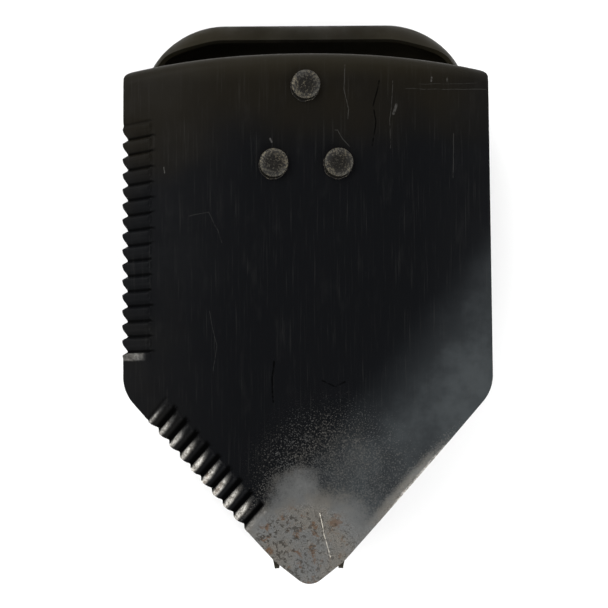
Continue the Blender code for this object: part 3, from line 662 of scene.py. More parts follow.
def tooth_steps(x, y):
    """(pitches from the first tooth, distance from the edge, teeth in the row) where a point lies."""
    from_side, from_slope = margin_distances(x, y)
    if y > SHOULDER_Y:
        return (SIDE_FIRST_Y - y + side_slant(y) * from_side) / SIDE_PITCH, from_side, SIDE_NOTCHES
    along = (Vector((x, y)) - SHOULDER).dot(SLOPE_DIRECTION) - math.tan(SLOPE_SLANT) * from_slope
    return (along - SLOPE_FIRST) / SLOPE_PITCH, from_slope, SLOPE_NOTCHES


def side_slant(y):
    """The side corrugations lean more toward the top of the blade."""
    return math.tan(SIDE_SLANT * (0.3 + 0.7 * smoothstep(-0.030, 0.075, y)))


def tooth_place(row, steps, depth):
    """The point at a number of pitches along a row of teeth and a distance in from the edge."""
    if row == "side":
        y = SIDE_FIRST_Y - steps * SIDE_PITCH
        for _ in range(4):
            y = SIDE_FIRST_Y - steps * SIDE_PITCH + side_slant(y) * depth
        return Vector((depth - side_x(y), y))
    along = SLOPE_FIRST + steps * SLOPE_PITCH + math.tan(SLOPE_SLANT) * depth
    return SHOULDER + SLOPE_DIRECTION * along + SLOPE_INWARD * depth


def relief(x, y):
    steps, depth, notches = tooth_steps(x, y)
    fade = 1 - smoothstep(RIDGE_END - 0.0008, RIDGE_END + 0.0002, depth)
    return RIDGE * corrugation(steps, notches) * fade


def margin_drop(x, y):
    beyond = MARGIN - min(margin_distances(x, y))
    if beyond <= 0:
        return 0.0
    soft = min(beyond, CREASE)
    drop = math.tan(MARGIN_BEND) * (soft * soft / (2 * CREASE) + beyond - soft)
    return drop * (1 - smoothstep(SIDE_FIRST_Y - 0.0015, SIDE_FIRST_Y + 0.004, y))


def dents(x, y):
    """Slight unevenness of the hammered and used sheet."""
    away_from_rivets = smoothstep(0.02, 0.04, abs(x) + abs(y - 0.07))
    return DENT * noise.noise(Vector((x * 38, y * 30, 0.4))) * away_from_rivets


def pressed_surface(x, v):
    """The blade's back where the flat blank's point (x, v) ends up."""
    bend_y = top_edge_y(x) - ROLL_RADIUS * math.sin(ROLL_ANGLE)
    angle = max(0.0, v - bend_y) / ROLL_RADIUS
    y = min(v, bend_y) + ROLL_RADIUS * math.sin(angle)
    dish = DISH_DEPTH * (max(0.0, abs(x) - FLAT_HALF) / (BLADE_HALF - FLAT_HALF)) ** 2
    droop = TIP_DROOP * (max(0.0, DROOP_START_Y - y) / (DROOP_START_Y - APEX_Y)) ** 2
    drop = dish + droop + margin_drop(x, y) + ROLL_RADIUS * (1 - math.cos(angle))
    return Vector((x, y, BACK_Z - DENT_ROOM - drop + dents(x, y)))


def press(x, v, depth, lift):
    """The blank's point pressed into shape, moved along the surface's normal."""
    small = 0.00002
    surface = pressed_surface(x, v)
    across = pressed_surface(x + small, v) - pressed_surface(x - small, v)
    up = pressed_surface(x, v + small) - pressed_surface(x, v - small)
    return surface + across.cross(up).normalized() * (lift + depth)


def straight(start, end, spacing):
    count = max(1, round((end - start).length / spacing))
    return [start.lerp(end, i / count) for i in range(1, count)]


def notch_share(steps):
    """How much of the notch's depth is cut: slowly deeper from each point, then steeply out to the next."""
    phase = (steps - CREST) % 1 + CREST
    if phase < 0.82:
        return ((phase - CREST) / 0.74) ** 1.5
    return 1 - smoothstep(0.82, 1 + CREST, phase)


def blank_outline():
    extra = ROLL_RADIUS * (ROLL_ANGLE - math.sin(ROLL_ANGLE))
    top = BLADE_TOP_Y - TOP_SAG + extra
    corners = (
        (BLADE_HALF_TOP, top, TOP_CORNER_RADIUS),
        (-BLADE_HALF_TOP, top, TOP_CORNER_RADIUS),
        (-BLADE_HALF, SHOULDER_Y, SHOULDER_RADIUS),
        (-FLANK[0], FLANK[1], FLANK[2]),
        (0.0, APEX_Y, TIP_RADIUS),
        FLANK,
        (BLADE_HALF, SHOULDER_Y, SHOULDER_RADIUS),
    )
    arcs = rounded(corners, 16)
    outline = []
    for i, arc in enumerate(arcs):
        outline += arc
        start, end = arc[-1], arcs[(i + 1) % len(arcs)][0]
        toothed = i in (LEFT_SIDE, LEFT_SLOPE)
        notch, shift = (NOTCH, 0.0) if i == LEFT_SIDE else (SLOPE_NOTCH, SLOPE_SHIFT)
        inward = Vector((1, 0)) if i == LEFT_SIDE else SLOPE_INWARD
        for point in straight(start, end, 0.00035 if toothed else 0.0012):
            cut = 0.0
            if toothed:
                steps, _, notches = tooth_steps(point.x, point.y)
                if CREST < steps < notches + CREST:
                    cut = notch * notch_share(steps + shift)
            outline.append(point + inward * cut)
    bulge = [TOP_SAG * (1 - (p.x / BLADE_HALF_TOP) ** 2) * smoothstep(0.080, 0.092, p.y) for p in outline]
    return [Vector((p.x, p.y + lift)) for p, lift in zip(outline, bulge)]


def point_limit(y):
    """How far the blank reaches to each side of its middle."""
    if y > SHOULDER_Y:
        return side_x(y)
    if y > FLANK[1]:
        return FLANK[0] + (BLADE_HALF - FLANK[0]) * (y - FLANK[1]) / (SHOULDER_Y - FLANK[1])
    return FLANK[0] * (y - APEX_Y) / (FLANK[1] - APEX_Y)


def in_teeth(x, y):
    steps, depth, notches = tooth_steps(x, y)
    return depth < RIDGE_END + 0.0015 and -0.45 < steps < notches + 0.45


def tooth_points():
    """Points that follow the corrugations, closer together at the inner ends."""
    depths = [0.0006 + 0.0007 * i for i in range(15)]
    depths += [RIDGE_END + 0.0002 * i for i in (-4, -3, -2, -1, 0, 1, 3)]
    points = []
    for row, notches in (("side", SIDE_NOTCHES), ("slope", SLOPE_NOTCHES)):
        for i in range(-6, notches * LINES_PER_PITCH + 7):
            steps = i / LINES_PER_PITCH
            cut = NOTCH * notch_share(steps) if CREST < steps < notches + CREST else 0.0
            points += [tooth_place(row, steps, depth) for depth in depths if depth > cut + 0.0004]
    return points


def blank_inside():
    """Rows along the corrugations and the rolled edge, and a grid on the rest of the blank."""
    points = tooth_points()
    y = BLADE_TOP_Y - ROLL_RADIUS * math.sin(ROLL_ANGLE) - GRID
    while y > APEX_Y:
        limit = point_limit(y)
        x = -limit + GRID_MARGIN
        while x < limit - GRID_MARGIN:
            if not in_teeth(x, y):
                points.append(Vector((x, y)))
            x += GRID
        y -= GRID
    columns = 104
    for i in range(1, columns):
        x = BLADE_HALF_TOP * (2 * i / columns - 1)
        bend_y = top_edge_y(x) - ROLL_RADIUS * math.sin(ROLL_ANGLE)
        points += [Vector((x, bend_y + ROLL_RADIUS * ROLL_ANGLE * k / 12)) for k in range(1, 12)]
    return [p for p in points if p.y < top_edge_y(p.x) - 0.0085 or p.y > top_edge_y(p.x) - 0.0058]


def blob(x, y, centre, inner, outer):
    """1 within the inner radius of a centre, fading to 0 at the outer radius."""
    return 1 - smoothstep(inner, outer, math.hypot(x - centre[0], y - centre[1]))


def wear_and_sheen_at(x, y):
    """How far use has worn the paint off the tip and the right-hand edge, from 0 to 1, plus a soft patch of
    painted sheen above the tip.
    """
    from_right = (Vector((-x, y)) - SHOULDER).dot(SLOPE_INWARD)
    tip = blob(x, y, (-0.0010, -0.1100), 0.018, 0.042)
    left = 0.66 * blob(x, y, (-0.0035, -0.0815), 0.003, 0.025) * smoothstep(0.0078, 0.0034, x)
    right = 0.70 * blob(x, y, (0.0130, -0.0930), 0.003, 0.026)
    # Painted sheen, not wear: a soft lighter patch right of the middle, above the tip.
    sheen_patch = 0.32 * blob(x, y, (0.0120, -0.0780), 0.014, 0.050)
    edge = 0.88 * (1 - smoothstep(0.0002, 0.0080, from_right)) * (1 - smoothstep(-0.078, -0.042, y))
    return max(tip, left, right, sheen_patch, edge)


def bare_and_highlight_at(x, y):
    """Bright metal on the flank of each slope tooth that faces the light, partly wear and partly a painted
    highlight, and on the last side tooth; a painted highlight along the rim of the rolled edge.
    """
    steps, depth, notches = tooth_steps(x, y)
    if y <= SHOULDER_Y and -0.2 < steps < notches + 0.3 and depth < RIDGE_END:
        # The flank facing the light gets bare steel: partly wear, partly a painted highlight.
        flank = 1 - smoothstep(0.22, 0.66, (steps + 0.18) % 1)
        strength = 0.62 + 0.38 * smoothstep(0.0, 5.0, steps)
        strength *= 1 - 0.55 * smoothstep(-0.3, -0.1, steps - notches)
        inner = 1 - 0.72 * smoothstep(0.003, RIDGE_END, depth)
        return flank * strength * inner * smoothstep(-0.2, 0.1, steps)
    if y > SHOULDER_Y and notches - 0.10 < steps < notches + 0.48 and depth < RIDGE_END:
        return 0.46 * smoothstep(RIDGE_END, RIDGE_END - 0.004, depth)
    from_right = (Vector((-x, y)) - SHOULDER).dot(SLOPE_INWARD)
    if from_right < 0.0013 and y < 0:
        return 0.75 * smoothstep(0.0013, 0.0003, from_right) * blob(x, y, (0.042, -0.072), 0.010, 0.032)
    # Painted highlight: a thin bright line along the rim of the rolled edge.
    rolled = y - top_edge_y(x) - ROLL_RADIUS * (ROLL_ANGLE - math.sin(ROLL_ANGLE))
    return 0.36 * smoothstep(-0.0012, -0.0004, rolled)


def valley_shade_at(x, y):
    """Painted shade in the valleys between the ridges."""
    steps, depth, notches = tooth_steps(x, y)
    if depth > RIDGE_END + 0.0006 or not -0.3 < steps < notches + 0.05:
        return 0.0
    phase = steps % 1
    if y > SHOULDER_Y:
        valley = 0.9 * smoothstep(0.68, 0.79, phase) * (1 - smoothstep(0.85, 0.93, phase))
    else:
        valley = smoothstep(0.40, 0.62, phase) * (1 - smoothstep(0.84, 0.92, phase))
    return valley * smoothstep(-0.3, 0.0, steps)


def rivet_spots():
    return {name: middle(name) for name in ("blade_rivet_top", "blade_rivet_left", "blade_rivet_right")}


def build_blade(look):
    outline = blank_outline()
    centres = [spot.xy for spot in rivet_spots().values()]
    hole = RIVET_SHANK + GAP
    turns = [math.tau * k / 24 for k in range(24)]
    rims = [centre + Vector((math.cos(a), math.sin(a))) * hole for centre in centres for a in turns]
    points = outline + rims + blank_inside()
    cut = geometry.delaunay_2d_cdt(points, [], [list(range(len(outline)))], 1, 0.0000001)
    points, faces = cut[0], cut[2]

    def in_hole(face):
        centre_of_face = sum((points[i] for i in face), Vector((0, 0))) / len(face)
        return any((centre_of_face - centre).length < hole - 0.0001 for centre in centres)

    faces = [face for face in faces if not in_hole(face)]
    bm = bmesh.new()
    layers = {name: bm.verts.layers.float.new(name) for name in ("wear_and_sheen", "bare_and_highlight", "valley_shade")}
    above, below = {}, {}
    for i in sorted({i for face in faces for i in face}):
        p = points[i]
        lift = relief(p.x, p.y)
        above[i] = bm.verts.new(press(p.x, p.y, 0.0, lift))
        below[i] = bm.verts.new(press(p.x, p.y, -SHEET, lift))
        for name, strength, share in (("wear_and_sheen", wear_and_sheen_at(p.x, p.y), 0.8), ("bare_and_highlight", bare_and_highlight_at(p.x, p.y), 0.6)):
            above[i][layers[name]] = strength
            below[i][layers[name]] = share * strength
        above[i][layers["valley_shade"]] = valley_shade_at(p.x, p.y)
    sides = set()
    for face in faces:
        bm.faces.new([above[i] for i in face])
        bm.faces.new([below[i] for i in reversed(face)])
        sides |= set(zip(face, list(face[1:]) + [face[0]]))
    for i, j in sides:
        if (j, i) not in sides:
            bm.faces.new([above[j], above[i], below[i], below[j]])
    bmesh.ops.recalc_face_normals(bm, faces=bm.faces)
    return register(loose(bm), "blade_sheet", look, "blade_assembly", ["blade"], 48, 0.00022)


# --- D handle ---


def web_z(y):
    return NECK_WEB_Z * smoothstep(0.044, 0.078, -y)


def wall_top_z(y):
    if y < PIVOT.y:
        beyond = (PIVOT.y - y) / (PIVOT.y - NECK_END_Y + 0.0008)
        return AXIS_Z + (EAR_TOP - AXIS_Z) * math.sqrt(max(0.0, 1 - beyond * beyond))
    return WALL_TOP + (EAR_TOP - WALL_TOP) * smoothstep(0.050, 0.086, -y)


def handle_stations():
    """Points down half the handle's outer edge, each with the direction inward from it."""
    centre = Vector((GRIP_HALF, GRIP_Y - GRIP_CORNER))
    neck = Vector((NECK_HALF + NECK_FLARE, NECK_START_Y))
    away = neck - centre
    last = math.atan2(away.y, away.x) + math.acos(GRIP_CORNER / away.length)
    stations = [(Vector((GRIP_HALF * i / 10, GRIP_Y)), Vector((0, -1))) for i in range(10)]
    for i in range(37):
        angle = math.radians(90) + (last - math.radians(90)) * i / 36
        outward = Vector((math.cos(angle), math.sin(angle)))
        stations.append((centre + outward * GRIP_CORNER, -outward))
    start, inward = stations[-1]
    stations += [(start.lerp(neck, i / 60), inward) for i in range(1, 60)]
    count = 34
    for i in range(count + 1):
        y = NECK_START_Y + (NECK_END_Y - NECK_START_Y) * i / count
        half = NECK_HALF - NECK_TAPER * smoothstep(0.108, -NECK_END_Y, -y)
        half += NECK_FLARE * smoothstep(-0.089, -0.078, y)
        turn = Vector((-1, 0)).lerp(inward, smoothstep(-0.088, -0.074, y)).normalized()
        stations.append((Vector((half, y)), turn))
    return stations


def handle_profile(point):
    """(distance inward, z) points down the wall, which leans in at the top, and around the rolled foot."""
    at_grip = smoothstep(0.102, GRIP_Y, point.y)
    at_arm = smoothstep(-0.086, -0.055, point.y)
    roll = NECK_ROLL + at_arm * (ARM_ROLL + GRIP_ROLL * smoothstep(-0.02, 0.09, point.y))
    lean = at_arm * (ARM_LEAN + GRIP_LEAN * at_grip)
    foot = web_z(point.y)
    top = wall_top_z(point.y) - foot - roll
    section = []
    for k in range(10, -1, -1):
        angle = WALL_TURN * k / 10
        inward = lean * (1 - math.cos(angle)) / (1 - math.cos(WALL_TURN))
        section.append((inward, foot + roll + top * math.sin(angle) / math.sin(WALL_TURN)))
    for k in range(1, 10):
        angle = math.radians(10 * k)
        section.append((roll * (1 - math.cos(angle)), foot + roll * (1 - math.sin(angle))))
    return section


def opening_path():
    """Half the hand opening, from the middle of its grip side down to the middle of its narrow end."""
    narrow, corner, _ = rounded(OPENING, 24)
    if corner[0].y < corner[-1].y:
        corner = corner[::-1]
    narrow = sorted((p for p in narrow if p.x > -0.0000001), key=lambda p: -p.y)
    top = Vector((0, corner[0].y))
    path = [top.lerp(corner[0], i / 12) for i in range(12)] + corner
    path += [corner[-1].lerp(narrow[0], i / 60) for i in range(1, 60)] + narrow
    path[-1] = Vector((0, narrow[-1].y))
    return path


def at_share(path, share):
    """The point at a share of a path's length, and the direction away from the opening there."""
    if share > 0.99999:
        return path[-1], Vector((0, -1))
    wanted = share * sum((b - a).length for a, b in zip(path, path[1:]))
    for a, b in zip(path, path[1:]):
        step = (b - a).length
        if wanted <= step:
            tangent = (b - a).normalized()
            return a.lerp(b, wanted / step), Vector((-tangent.y, tangent.x))
        wanted -= step
    return path[-1], Vector((0, -1))


def flange(spot, out):
    """The opening's turned-up edge, from the web to its rim."""
    edge = spot + out * FLANGE_BEND
    angles = [math.radians(18 * k) for k in range(6)]
    bend = [(edge - out * FLANGE_BEND * math.sin(a), FLANGE_BEND * (1 - math.cos(a))) for a in angles]
    return edge, [(*place, z) for place, z in bend[1:]] + [(*spot, FLANGE_TOP)]


def handle_rows():
    """One row of points for each station: wall, foot, web and, beside the hand opening, its flange."""
    stations = handle_stations()
    path = opening_path()
    bottom = path[-1].y
    around = sum(point.y > bottom - 0.004 for point, _ in stations)
    lengths = [0.0]
    for (a, _), (b, _) in zip(stations[:around], stations[1:around]):
        lengths.append(lengths[-1] + (b - a).length)
    for i, (point, inward) in enumerate(stations):
        row = [(*(point + inward * distance), z) for distance, z in handle_profile(point)]
        foot = Vector(row[-1][:2])
        if i < around:
            edge, rim = flange(*at_share(path, lengths[i] / lengths[-1]))
        else:
            share = (i - around + 1) / (len(stations) - around)
            edge, rim = Vector((0, bottom - FLANGE_BEND)).lerp(Vector((0, NECK_END_Y)), share), []
        web = [foot.lerp(edge, k / 4) for k in (1, 2, 3, 4)]
        yield row + [(*place, web_z(place.y)) for place in web] + rim


def build_handle(look):
    bm = bmesh.new()
    grid = [[bm.verts.new(co) for co in row] for row in handle_rows()]
    for above, below in zip(grid, grid[1:]):
        for i in range(min(len(above), len(below)) - 1):
            bm.faces.new((above[i], above[i + 1], below[i + 1], below[i]))
    bmesh.ops.recalc_face_normals(bm, faces=bm.faces)
    if sum(face.normal.z * face.calc_area() for face in bm.faces) > 0:
        bmesh.ops.reverse_faces(bm, faces=bm.faces)
    handle = loose(bm)
    mirror = handle.modifiers.new("other half", "MIRROR")
    mirror.merge_threshold = 0.00002
    skin = handle.modifiers.new("sheet", "SOLIDIFY")
    skin.thickness = SHEET
    skin.offset = -1
    skin.use_even_offset = True
    apply_modifiers(handle)
    holes = [drill(PIVOT_PIN + GAP, PIVOT, (1, 0, 0))]
    for offset in (DETENT_OFFSET, -DETENT_OFFSET):
        holes.append(drill(DETENT_HOLE, PIVOT + Vector((0, offset, 0)), (1, 0, 0), 32))
    carve(handle, "DIFFERENCE", *holes)
    return register(handle, "handle_sheet", look, "handle", ["d_handle"], 48, 0.0003)


# --- Turned and small pieces ---


def register_turned(node, made, look, body, sharp=40, bevel=0.0):
    return register(made, node + "_turned", look, body, [node], sharp, bevel)


def turned(profile, centre, axis, radius=0.0003, segments=72, shape=None):
    return lathe(rounded_profile(profile, radius), centre, axis, segments, shape)


def ring(inner, outer, start, end):
    """The closed profile of a washer or tube."""
    return [(outer, start), (outer, end), (inner, end), (inner, start), (outer, start)]


def rivet_body(centre, head, low, high):
    """A flat hammered head over a shank with a spread tail."""
    floor, tail = high - PLATE, low + RIVET_TAIL_HEIGHT
    face = [(0, high), (head * 0.5, high - 0.00002), (head * 0.80, high - 0.00012), (head, high - 0.0006)]
    rest = [(head, floor + 0.0004), (head - 0.0004, floor), (RIVET_SHANK, floor), (RIVET_SHANK, tail),
            (RIVET_TAIL, tail), (0.0043, low), (0, low)]
    return lathe(rounded_profile(face + rest, 0.0005, 4), (centre.x, centre.y, 0), (0, 0, 1), 96)


def rivet_burr(centre, head, floor, seed):
    """A thin ragged disc squeezed out under a rivet's head."""

    def ragged(radius, height, angle):
        spread = noise.noise(Vector((math.cos(angle) * 2.2, math.sin(angle) * 2.2, seed)))
        return radius + BURR_RAGGED * spread if radius > 0.003 else radius

    profile = [(0, 0.0005), (head - 0.0004, 0.0005), (head, 0.0002), (head - 0.0002, 0), (0, 0)]
    return lathe(profile, (*centre, floor + 0.00005), (0, 0, 1), 96, ragged)


def build_rivets(look):
    """Rivets with an attribute for their look: 0 to 1 from the face's middle to its rim, -1 down the side; it
    paints a highlight toward the rim and shade down the side.
    """
    for name, centre in rivet_spots().items():
        low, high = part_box(name)
        head, floor = (high.x - low.x) / 2, high.z - PLATE
        burr_centre = centre.xy + BURR_SHIFT
        burr = rivet_burr(burr_centre, head, floor, centre.x * 90)
        made = carve(rivet_body(centre, head, low.z, high.z), "UNION", burr)
        rim = made.data.attributes.new("rim", "FLOAT", "POINT")
        # Painted highlight toward the rim and on the burr's ragged edge; painted shade down the side.
        for vert, value in zip(made.data.vertices, rim.data):
            value.value = smoothstep(0.35, 1.0, (vert.co.xy - centre.xy).length / head)
            if vert.co.z < high.z - 0.0010:
                value.value = -1.0
            if vert.co.z < floor + 0.0004 and (vert.co.xy - burr_centre).length > head - 0.0008:
                value.value = 0.7
        register_turned(name, made, look, "blade_assembly")


def build_hinge(look):
    ear = EAR_INNER + PLATE + GAP
    plain_end = [(HINGE_PIN, -ear), (0.0070, -ear), (0.0070, -ear - 0.0015), (0.0060, -ear - 0.0024)]
    plain_end.append((0, -ear - 0.0024))
    peened = [(0, ear + 0.0032), (0.0034, ear + 0.0031), (0.0050, ear + 0.0028), (0.0062, ear + 0.0016),
              (HINGE_PIN, ear + 0.0015)]
    pieces = {
        "hinge_pin": peened + plain_end,
        "hinge_pin_washer": ring(HINGE_PIN + GAP, HINGE_WASHER, ear, ear + 0.0012),
        "hinge_shim_left": ring(HINGE_PIN + GAP, HINGE_SHIM, -EAR_INNER + GAP, -EYE_HALF - GAP),
        "hinge_shim_right": ring(HINGE_PIN + GAP, HINGE_SHIM, EYE_HALF + GAP, EAR_INNER - GAP),
    }
    for name, profile in pieces.items():
        register_turned(name, turned(profile, HINGE, (1, 0, 0)), look, "blade_assembly")


def build_pivot(look):
    ear = NECK_HALF + GAP
    head = [(PIVOT_PIN, ear), (0.0064, ear), (0.0064, ear + 0.0007), (0.0050, ear + 0.0016)]
    head += [(0.0024, ear + 0.0018), (0, ear + 0.0018)]
    far_head = [(radius, -along) for radius, along in head[::-1]]
    pieces = {
        "pivot_rivet": far_head + head,
        "pivot_washer_left": ring(PIVOT_PIN + GAP, PIVOT_WASHER, SHEET + GAP - NECK_HALF, -EYE_HALF - GAP),
        "pivot_washer_right": ring(PIVOT_PIN + GAP, PIVOT_WASHER, EYE_HALF + GAP, NECK_HALF - SHEET - GAP),
    }
    for name, profile in pieces.items():
        register_turned(name, turned(profile, PIVOT, (1, 0, 0)), look, "handle")
    for name in ("detent_ball_left", "detent_ball_right"):
        low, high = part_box(name)
        bm = bmesh.new()
        place = Matrix.Translation(middle(name))
        bmesh.ops.create_icosphere(bm, subdivisions=4, radius=(high.y - low.y) / 2, matrix=place)
        register_turned(name, loose(bm), look, "shaft")


def pin_spots():
    return [middle(name) for name in ("shaft_pin_front", "shaft_pin_rear")]


def pin_holes():
    return [drill(SHAFT_PIN + GAP, spot, (0, 0, 1), 32) for spot in pin_spots()]


def threaded(radius, height, angle):
    """Cuts the nut's thread into the full part of the front fitting."""
    start, end = TUBE_FRONT_Y + 0.0015, HINGE.y - NECK_LENGTH - 0.0010
    if radius < TUBE_RADIUS - 0.00005 or not start < height < end:
        return radius
    turn = (height / THREAD_PITCH - angle / math.tau) % 1
    crest = smoothstep(0.10, 0.32, turn) * (1 - smoothstep(0.60, 0.82, turn))
    fade = smoothstep(start, start + 0.002, height) * smoothstep(end, end - 0.002, height)
    return radius - THREAD_DEPTH * (1 - crest) * fade


def end_fitting(eye, out, radius, pin, tube_y, spigot_y, shape=None):
    """A solid end of the shaft: a round eye across it, a slimmer body, a full body, a spigot in the tube."""
    slim = radius - GAP
    shoulder = eye.y - out * NECK_LENGTH
    full_start, full_end = shoulder - out * (TUBE_RADIUS - slim), tube_y + out * GAP
    steps = round(abs(full_end - full_start) / 0.00015) if shape else 1
    body = [(TUBE_RADIUS, full_start + (full_end - full_start) * i / steps) for i in range(steps + 1)]
    profile = [(0, eye.y), (slim, eye.y), (slim, shoulder), *body, (SPIGOT_RADIUS, full_end),
               (SPIGOT_RADIUS, spigot_y), (0, spigot_y)]
    made = lathe(profile, *SHAFT_AXIS, 72, shape)
    carve(made, "UNION", rod(radius, -EYE_HALF, EYE_HALF, eye, (1, 0, 0), 70))
    return carve(made, "DIFFERENCE", drill(pin + GAP, eye, (1, 0, 0), 50), *pin_holes())


def build_shaft(tube_look, alloy_look, steel_look):
    low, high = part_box("shaft_tube")
    wall = ring(TUBE_RADIUS - TUBE_WALL, TUBE_RADIUS, low.y, high.y)
    tube = carve(turned(wall, *SHAFT_AXIS, 0.0004, 96), "DIFFERENCE", *pin_holes())
    register_turned("shaft_tube", tube, tube_look, "shaft")
    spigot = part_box("threaded_end")[0].y
    front = end_fitting(HINGE, 1, FRONT_EYE, HINGE_PIN, TUBE_FRONT_Y, spigot, threaded)
    register_turned("threaded_end", front, steel_look, "shaft", bevel=0.0002)
    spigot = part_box("shaft_knuckle")[1].y
    rear = end_fitting(PIVOT, -1, REAR_EYE, PIVOT_PIN, low.y, spigot)
    detent = drill(DETENT_BORE, PIVOT + Vector((0, DETENT_OFFSET, 0)), (1, 0, 0), 32)
    carve(rear, "DIFFERENCE", detent)
    register_turned("shaft_knuckle", rear, alloy_look, "shaft", bevel=0.0004)
    for name, spot in zip(("shaft_pin_front", "shaft_pin_rear"), pin_spots()):
        half = TUBE_RADIUS - GAP
        pin = turned(ring(SHAFT_PIN_BORE, SHAFT_PIN, -half, half), spot, (0, 0, 1), 0.0002, 40)
        register_turned(name, pin, steel_look, "shaft")
    low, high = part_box("nut_stop_ring")
    arc = math.tau - 2 * math.asin(STOP_RING_OPENING / STOP_RING)
    profile = rounded_profile(ring(TUBE_RADIUS + GAP, STOP_RING, low.y, high.y), 0.0004)
    made = lathe(profile[:-1] + profile[:1], *SHAFT_AXIS, 96, arc=arc)
    register_turned("nut_stop_ring", made, steel_look, "shaft")


def fluted(radius, height, angle):
    """Round flutes in the nut's outside."""
    if radius < SEAT_RADIUS + GAP:
        return radius
    turn = ((angle / math.tau * NUT_FLUTES) % 1 - 0.5) * math.tau / NUT_FLUTES
    across = FLUTE_DISTANCE * math.sin(turn)
    if abs(across) >= FLUTE_RADIUS:
        return radius
    flute = FLUTE_DISTANCE * math.cos(turn) - math.sqrt(FLUTE_RADIUS ** 2 - across ** 2)
    return min(radius, flute)


def build_nut(nut_look, steel_look):
    low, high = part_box("lock_nut")
    front, back = high.y, low.y
    step, bore = front - SEAT_DEPTH, TUBE_RADIUS + GAP
    outside = [(SEAT_RADIUS, front), (NUT_RADIUS - 0.0012, front), (NUT_RADIUS, front - 0.0012)]
    outside += [(NUT_RADIUS, back + 0.0015), (NUT_RADIUS - 0.0015, back)]
    inside = [(bore + 0.0008, back), (bore, back + 0.0008), (bore, step), (SEAT_RADIUS, step)]
    profile = outside + inside + outside[:1]
    nut = turned(profile, *SHAFT_AXIS, 0.0005, 288, fluted)
    register_turned("lock_nut", nut, nut_look, "nut")
    low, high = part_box("thrust_washer")
    washer = turned(ring(bore + 0.0006, THRUST_WASHER, low.y, high.y), *SHAFT_AXIS, 0.0003, 96)
    register_turned("thrust_washer", washer, steel_look, "nut_travel")


def ear_outline():
    """One ear of the bracket seen from the side, as (y, z): three locking flats and a gusset."""
    low, high = HINGE.y - FLAT_DISTANCE, HINGE.y + FLAT_DISTANCE
    return (
        (low, AXIS_Z - FLAT_DISTANCE, 0.0032),
        (high, AXIS_Z - FLAT_DISTANCE, 0.0032),
        (high, AXIS_Z + FLAT_DISTANCE + 0.006, 0.003),
        (0.0920, PLATE_Z - 0.003, 0.002),
        (0.0920, PLATE_Z + 0.002, 0.0003),
        (0.0618, PLATE_Z + 0.002, 0.0003),
        (0.0622, PLATE_Z - 0.0040, 0.002),
        (low, AXIS_Z + FLAT_DISTANCE + 0.007, 0.004),
    )


def flat(corners, segments=10):
    return [point for arc in rounded(corners, segments) for point in arc]


def build_bracket(look):
    other_side = tuple((-x, y, radius) for x, y, radius in PLATE_SIDE)
    outline = PLATE_SIDE[:1] + other_side + PLATE_SIDE[:0:-1]
    bracket = plate(flat(outline), PLATE_Z, PLATE_Z + PLATE)
    ears = []
    for x in (-EAR_INNER - PLATE, EAR_INNER):
        ear = plate(flat(ear_outline()), 0, PLATE)
        # The outline's (y, z) lies in its own (x, y): turn it up into the plane across X.
        ear.data.transform(Matrix(((0, 0, 1, x), (1, 0, 0, 0), (0, 1, 0, 0), (0, 0, 0, 1))))
        ears.append(ear)
    carve(bracket, "UNION", *ears)
    holes = [drill(HINGE_PIN + GAP, HINGE, (1, 0, 0), 50)]
    for spot in rivet_spots().values():
        holes.append(rod(RIVET_SHANK + GAP, -0.01, 0.01, (spot.x, spot.y, PLATE_Z), (0, 0, 1)))
    carve(bracket, "DIFFERENCE", *holes)
    register(bracket, "bracket_plate", look, "blade_assembly", ["blade_bracket"], 35, 0.0005)


# --- Assembly and studio ---


HANDLE_SPECKS = (
    (((0.0573, 0.0994), (0.0579, 0.0990)), 0.0004, 0.8),
    (((-0.0486, 0.1022), (-0.0480, 0.1020)), 0.0004, 0.7),
)
SKY = (0.62, 0.90, 2.05, 0.03)  # the two heights between which the sky's light fades, and its two strengths
# Each lamp's name, place, size and power.
LAMPS = (("key", (0.62, -0.58, 0.80), 0.60, 6.5), ("fill", (-0.55, 0.50, 0.90), 0.90, 8.5))
FLOOR_SIZE = 6
FLOOR_Z = -0.0002
CAMERA_DISTANCE = 0.640
CAMERA_PLACE = (-0.00135, -0.0032, BACK_Z + CAMERA_DISTANCE)
CAMERA_ROLL = math.radians(-0.38)
VIEW_WIDTH = 0.24661
SENSOR = 36


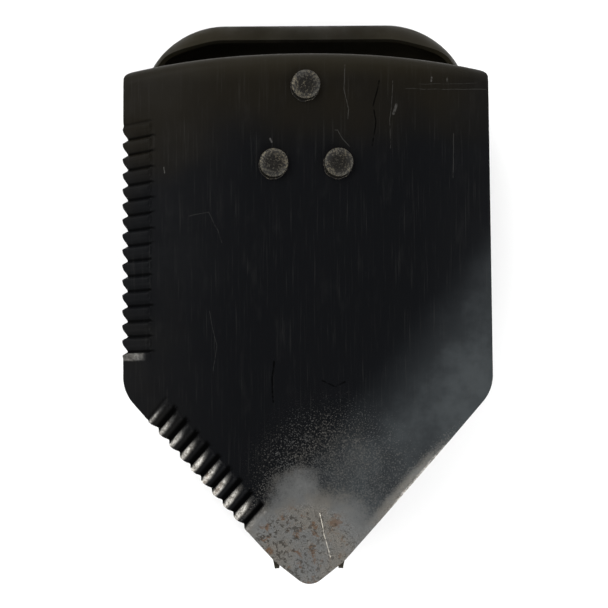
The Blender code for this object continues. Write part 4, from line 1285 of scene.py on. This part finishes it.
def main():
    blade_look = blade_paint()
    handle_look = black_paint("handle_paint", DARK_OLIVE, OLIVE, 0.48, 0.10, HANDLE_SPECKS)
    tube_look = black_paint("tube_paint", BLACK, BROWN, 0.38)
    bracket_look = black_paint("bracket_paint", BLACK, BROWN, 0.40, 0.3)
    nut_look = black_paint("nut_paint", NUT_BLACK, NUT_GREY, 0.50, 0.3)
    steel = bare_metal("steel", STEEL, DARK_STEEL, 0.38, 0.35)
    build_blade(blade_look)
    build_bracket(bracket_look)
    build_rivets(rivet_metal())
    build_hinge(steel)
    build_shaft(tube_look, tube_look, steel)
    build_nut(nut_look, steel)
    build_handle(handle_look)
    build_pivot(steel)
    looks = {"black_steel": blade_look, "bare_steel": steel}
    looks |= {"black_alloy": handle_look, "nut_black": nut_look}
    slots = {part["node"]: part["material_slot"] for part in frame["record"]["subparts"]}
    for name, node in frame["nodes"].items():
        node.data.materials.clear()
        node.data.materials.append(looks[slots[name]].material)


def build_world():
    """Even light from all sides that fades to dark overhead."""
    world = bpy.data.worlds.new("studio")
    bpy.context.scene.world = world
    world.use_nodes = True
    tree = world.node_tree
    where = tree.nodes.new("ShaderNodeTexCoord").outputs["Generated"]
    split = tree.nodes.new("ShaderNodeSeparateXYZ")
    ramp = tree.nodes.new("ShaderNodeMapRange")
    ramp.interpolation_type = "SMOOTHSTEP"
    for index, value in enumerate(SKY, start=1):
        ramp.inputs[index].default_value = value
    tree.nodes["Background"].inputs["Color"].default_value = (1, 1, 1, 1)
    tree.links.new(where, split.inputs[0])
    tree.links.new(split.outputs["Z"], ramp.inputs[0])
    tree.links.new(ramp.outputs[0], tree.nodes["Background"].inputs["Strength"])


def build_floor():
    bpy.ops.mesh.primitive_plane_add(size=FLOOR_SIZE, location=(0, 0, FLOOR_Z))
    floor = bpy.context.object
    floor.name = "floor"
    look = Look("floor")
    look.set(Base_Color=look.mix(look.noise(4), PALE, PALER), Roughness=0.9)
    floor.data.materials.append(look.material)


def build_lamps():
    for name, place, size, power in LAMPS:
        data = bpy.data.lights.new(name, "AREA")
        data.size = size
        data.energy = power
        lamp = add(name, data)
        lamp.location = place
        lamp.rotation_euler = (-Vector(place)).to_track_quat("-Z", "Y").to_euler()


def build_camera():
    data = bpy.data.cameras.new("camera")
    data.sensor_width = SENSOR
    data.lens = SENSOR * CAMERA_DISTANCE / VIEW_WIDTH
    data.clip_start = 0.01
    camera = add("camera", data)
    camera.location = CAMERA_PLACE
    camera.rotation_euler = (0, 0, CAMERA_ROLL)
    bpy.context.scene.camera = camera


def build_stage():
    bpy.context.scene.view_settings.view_transform = "Standard"
    build_floor()
    build_world()
    build_lamps()
    build_camera()


main()
build_stage()
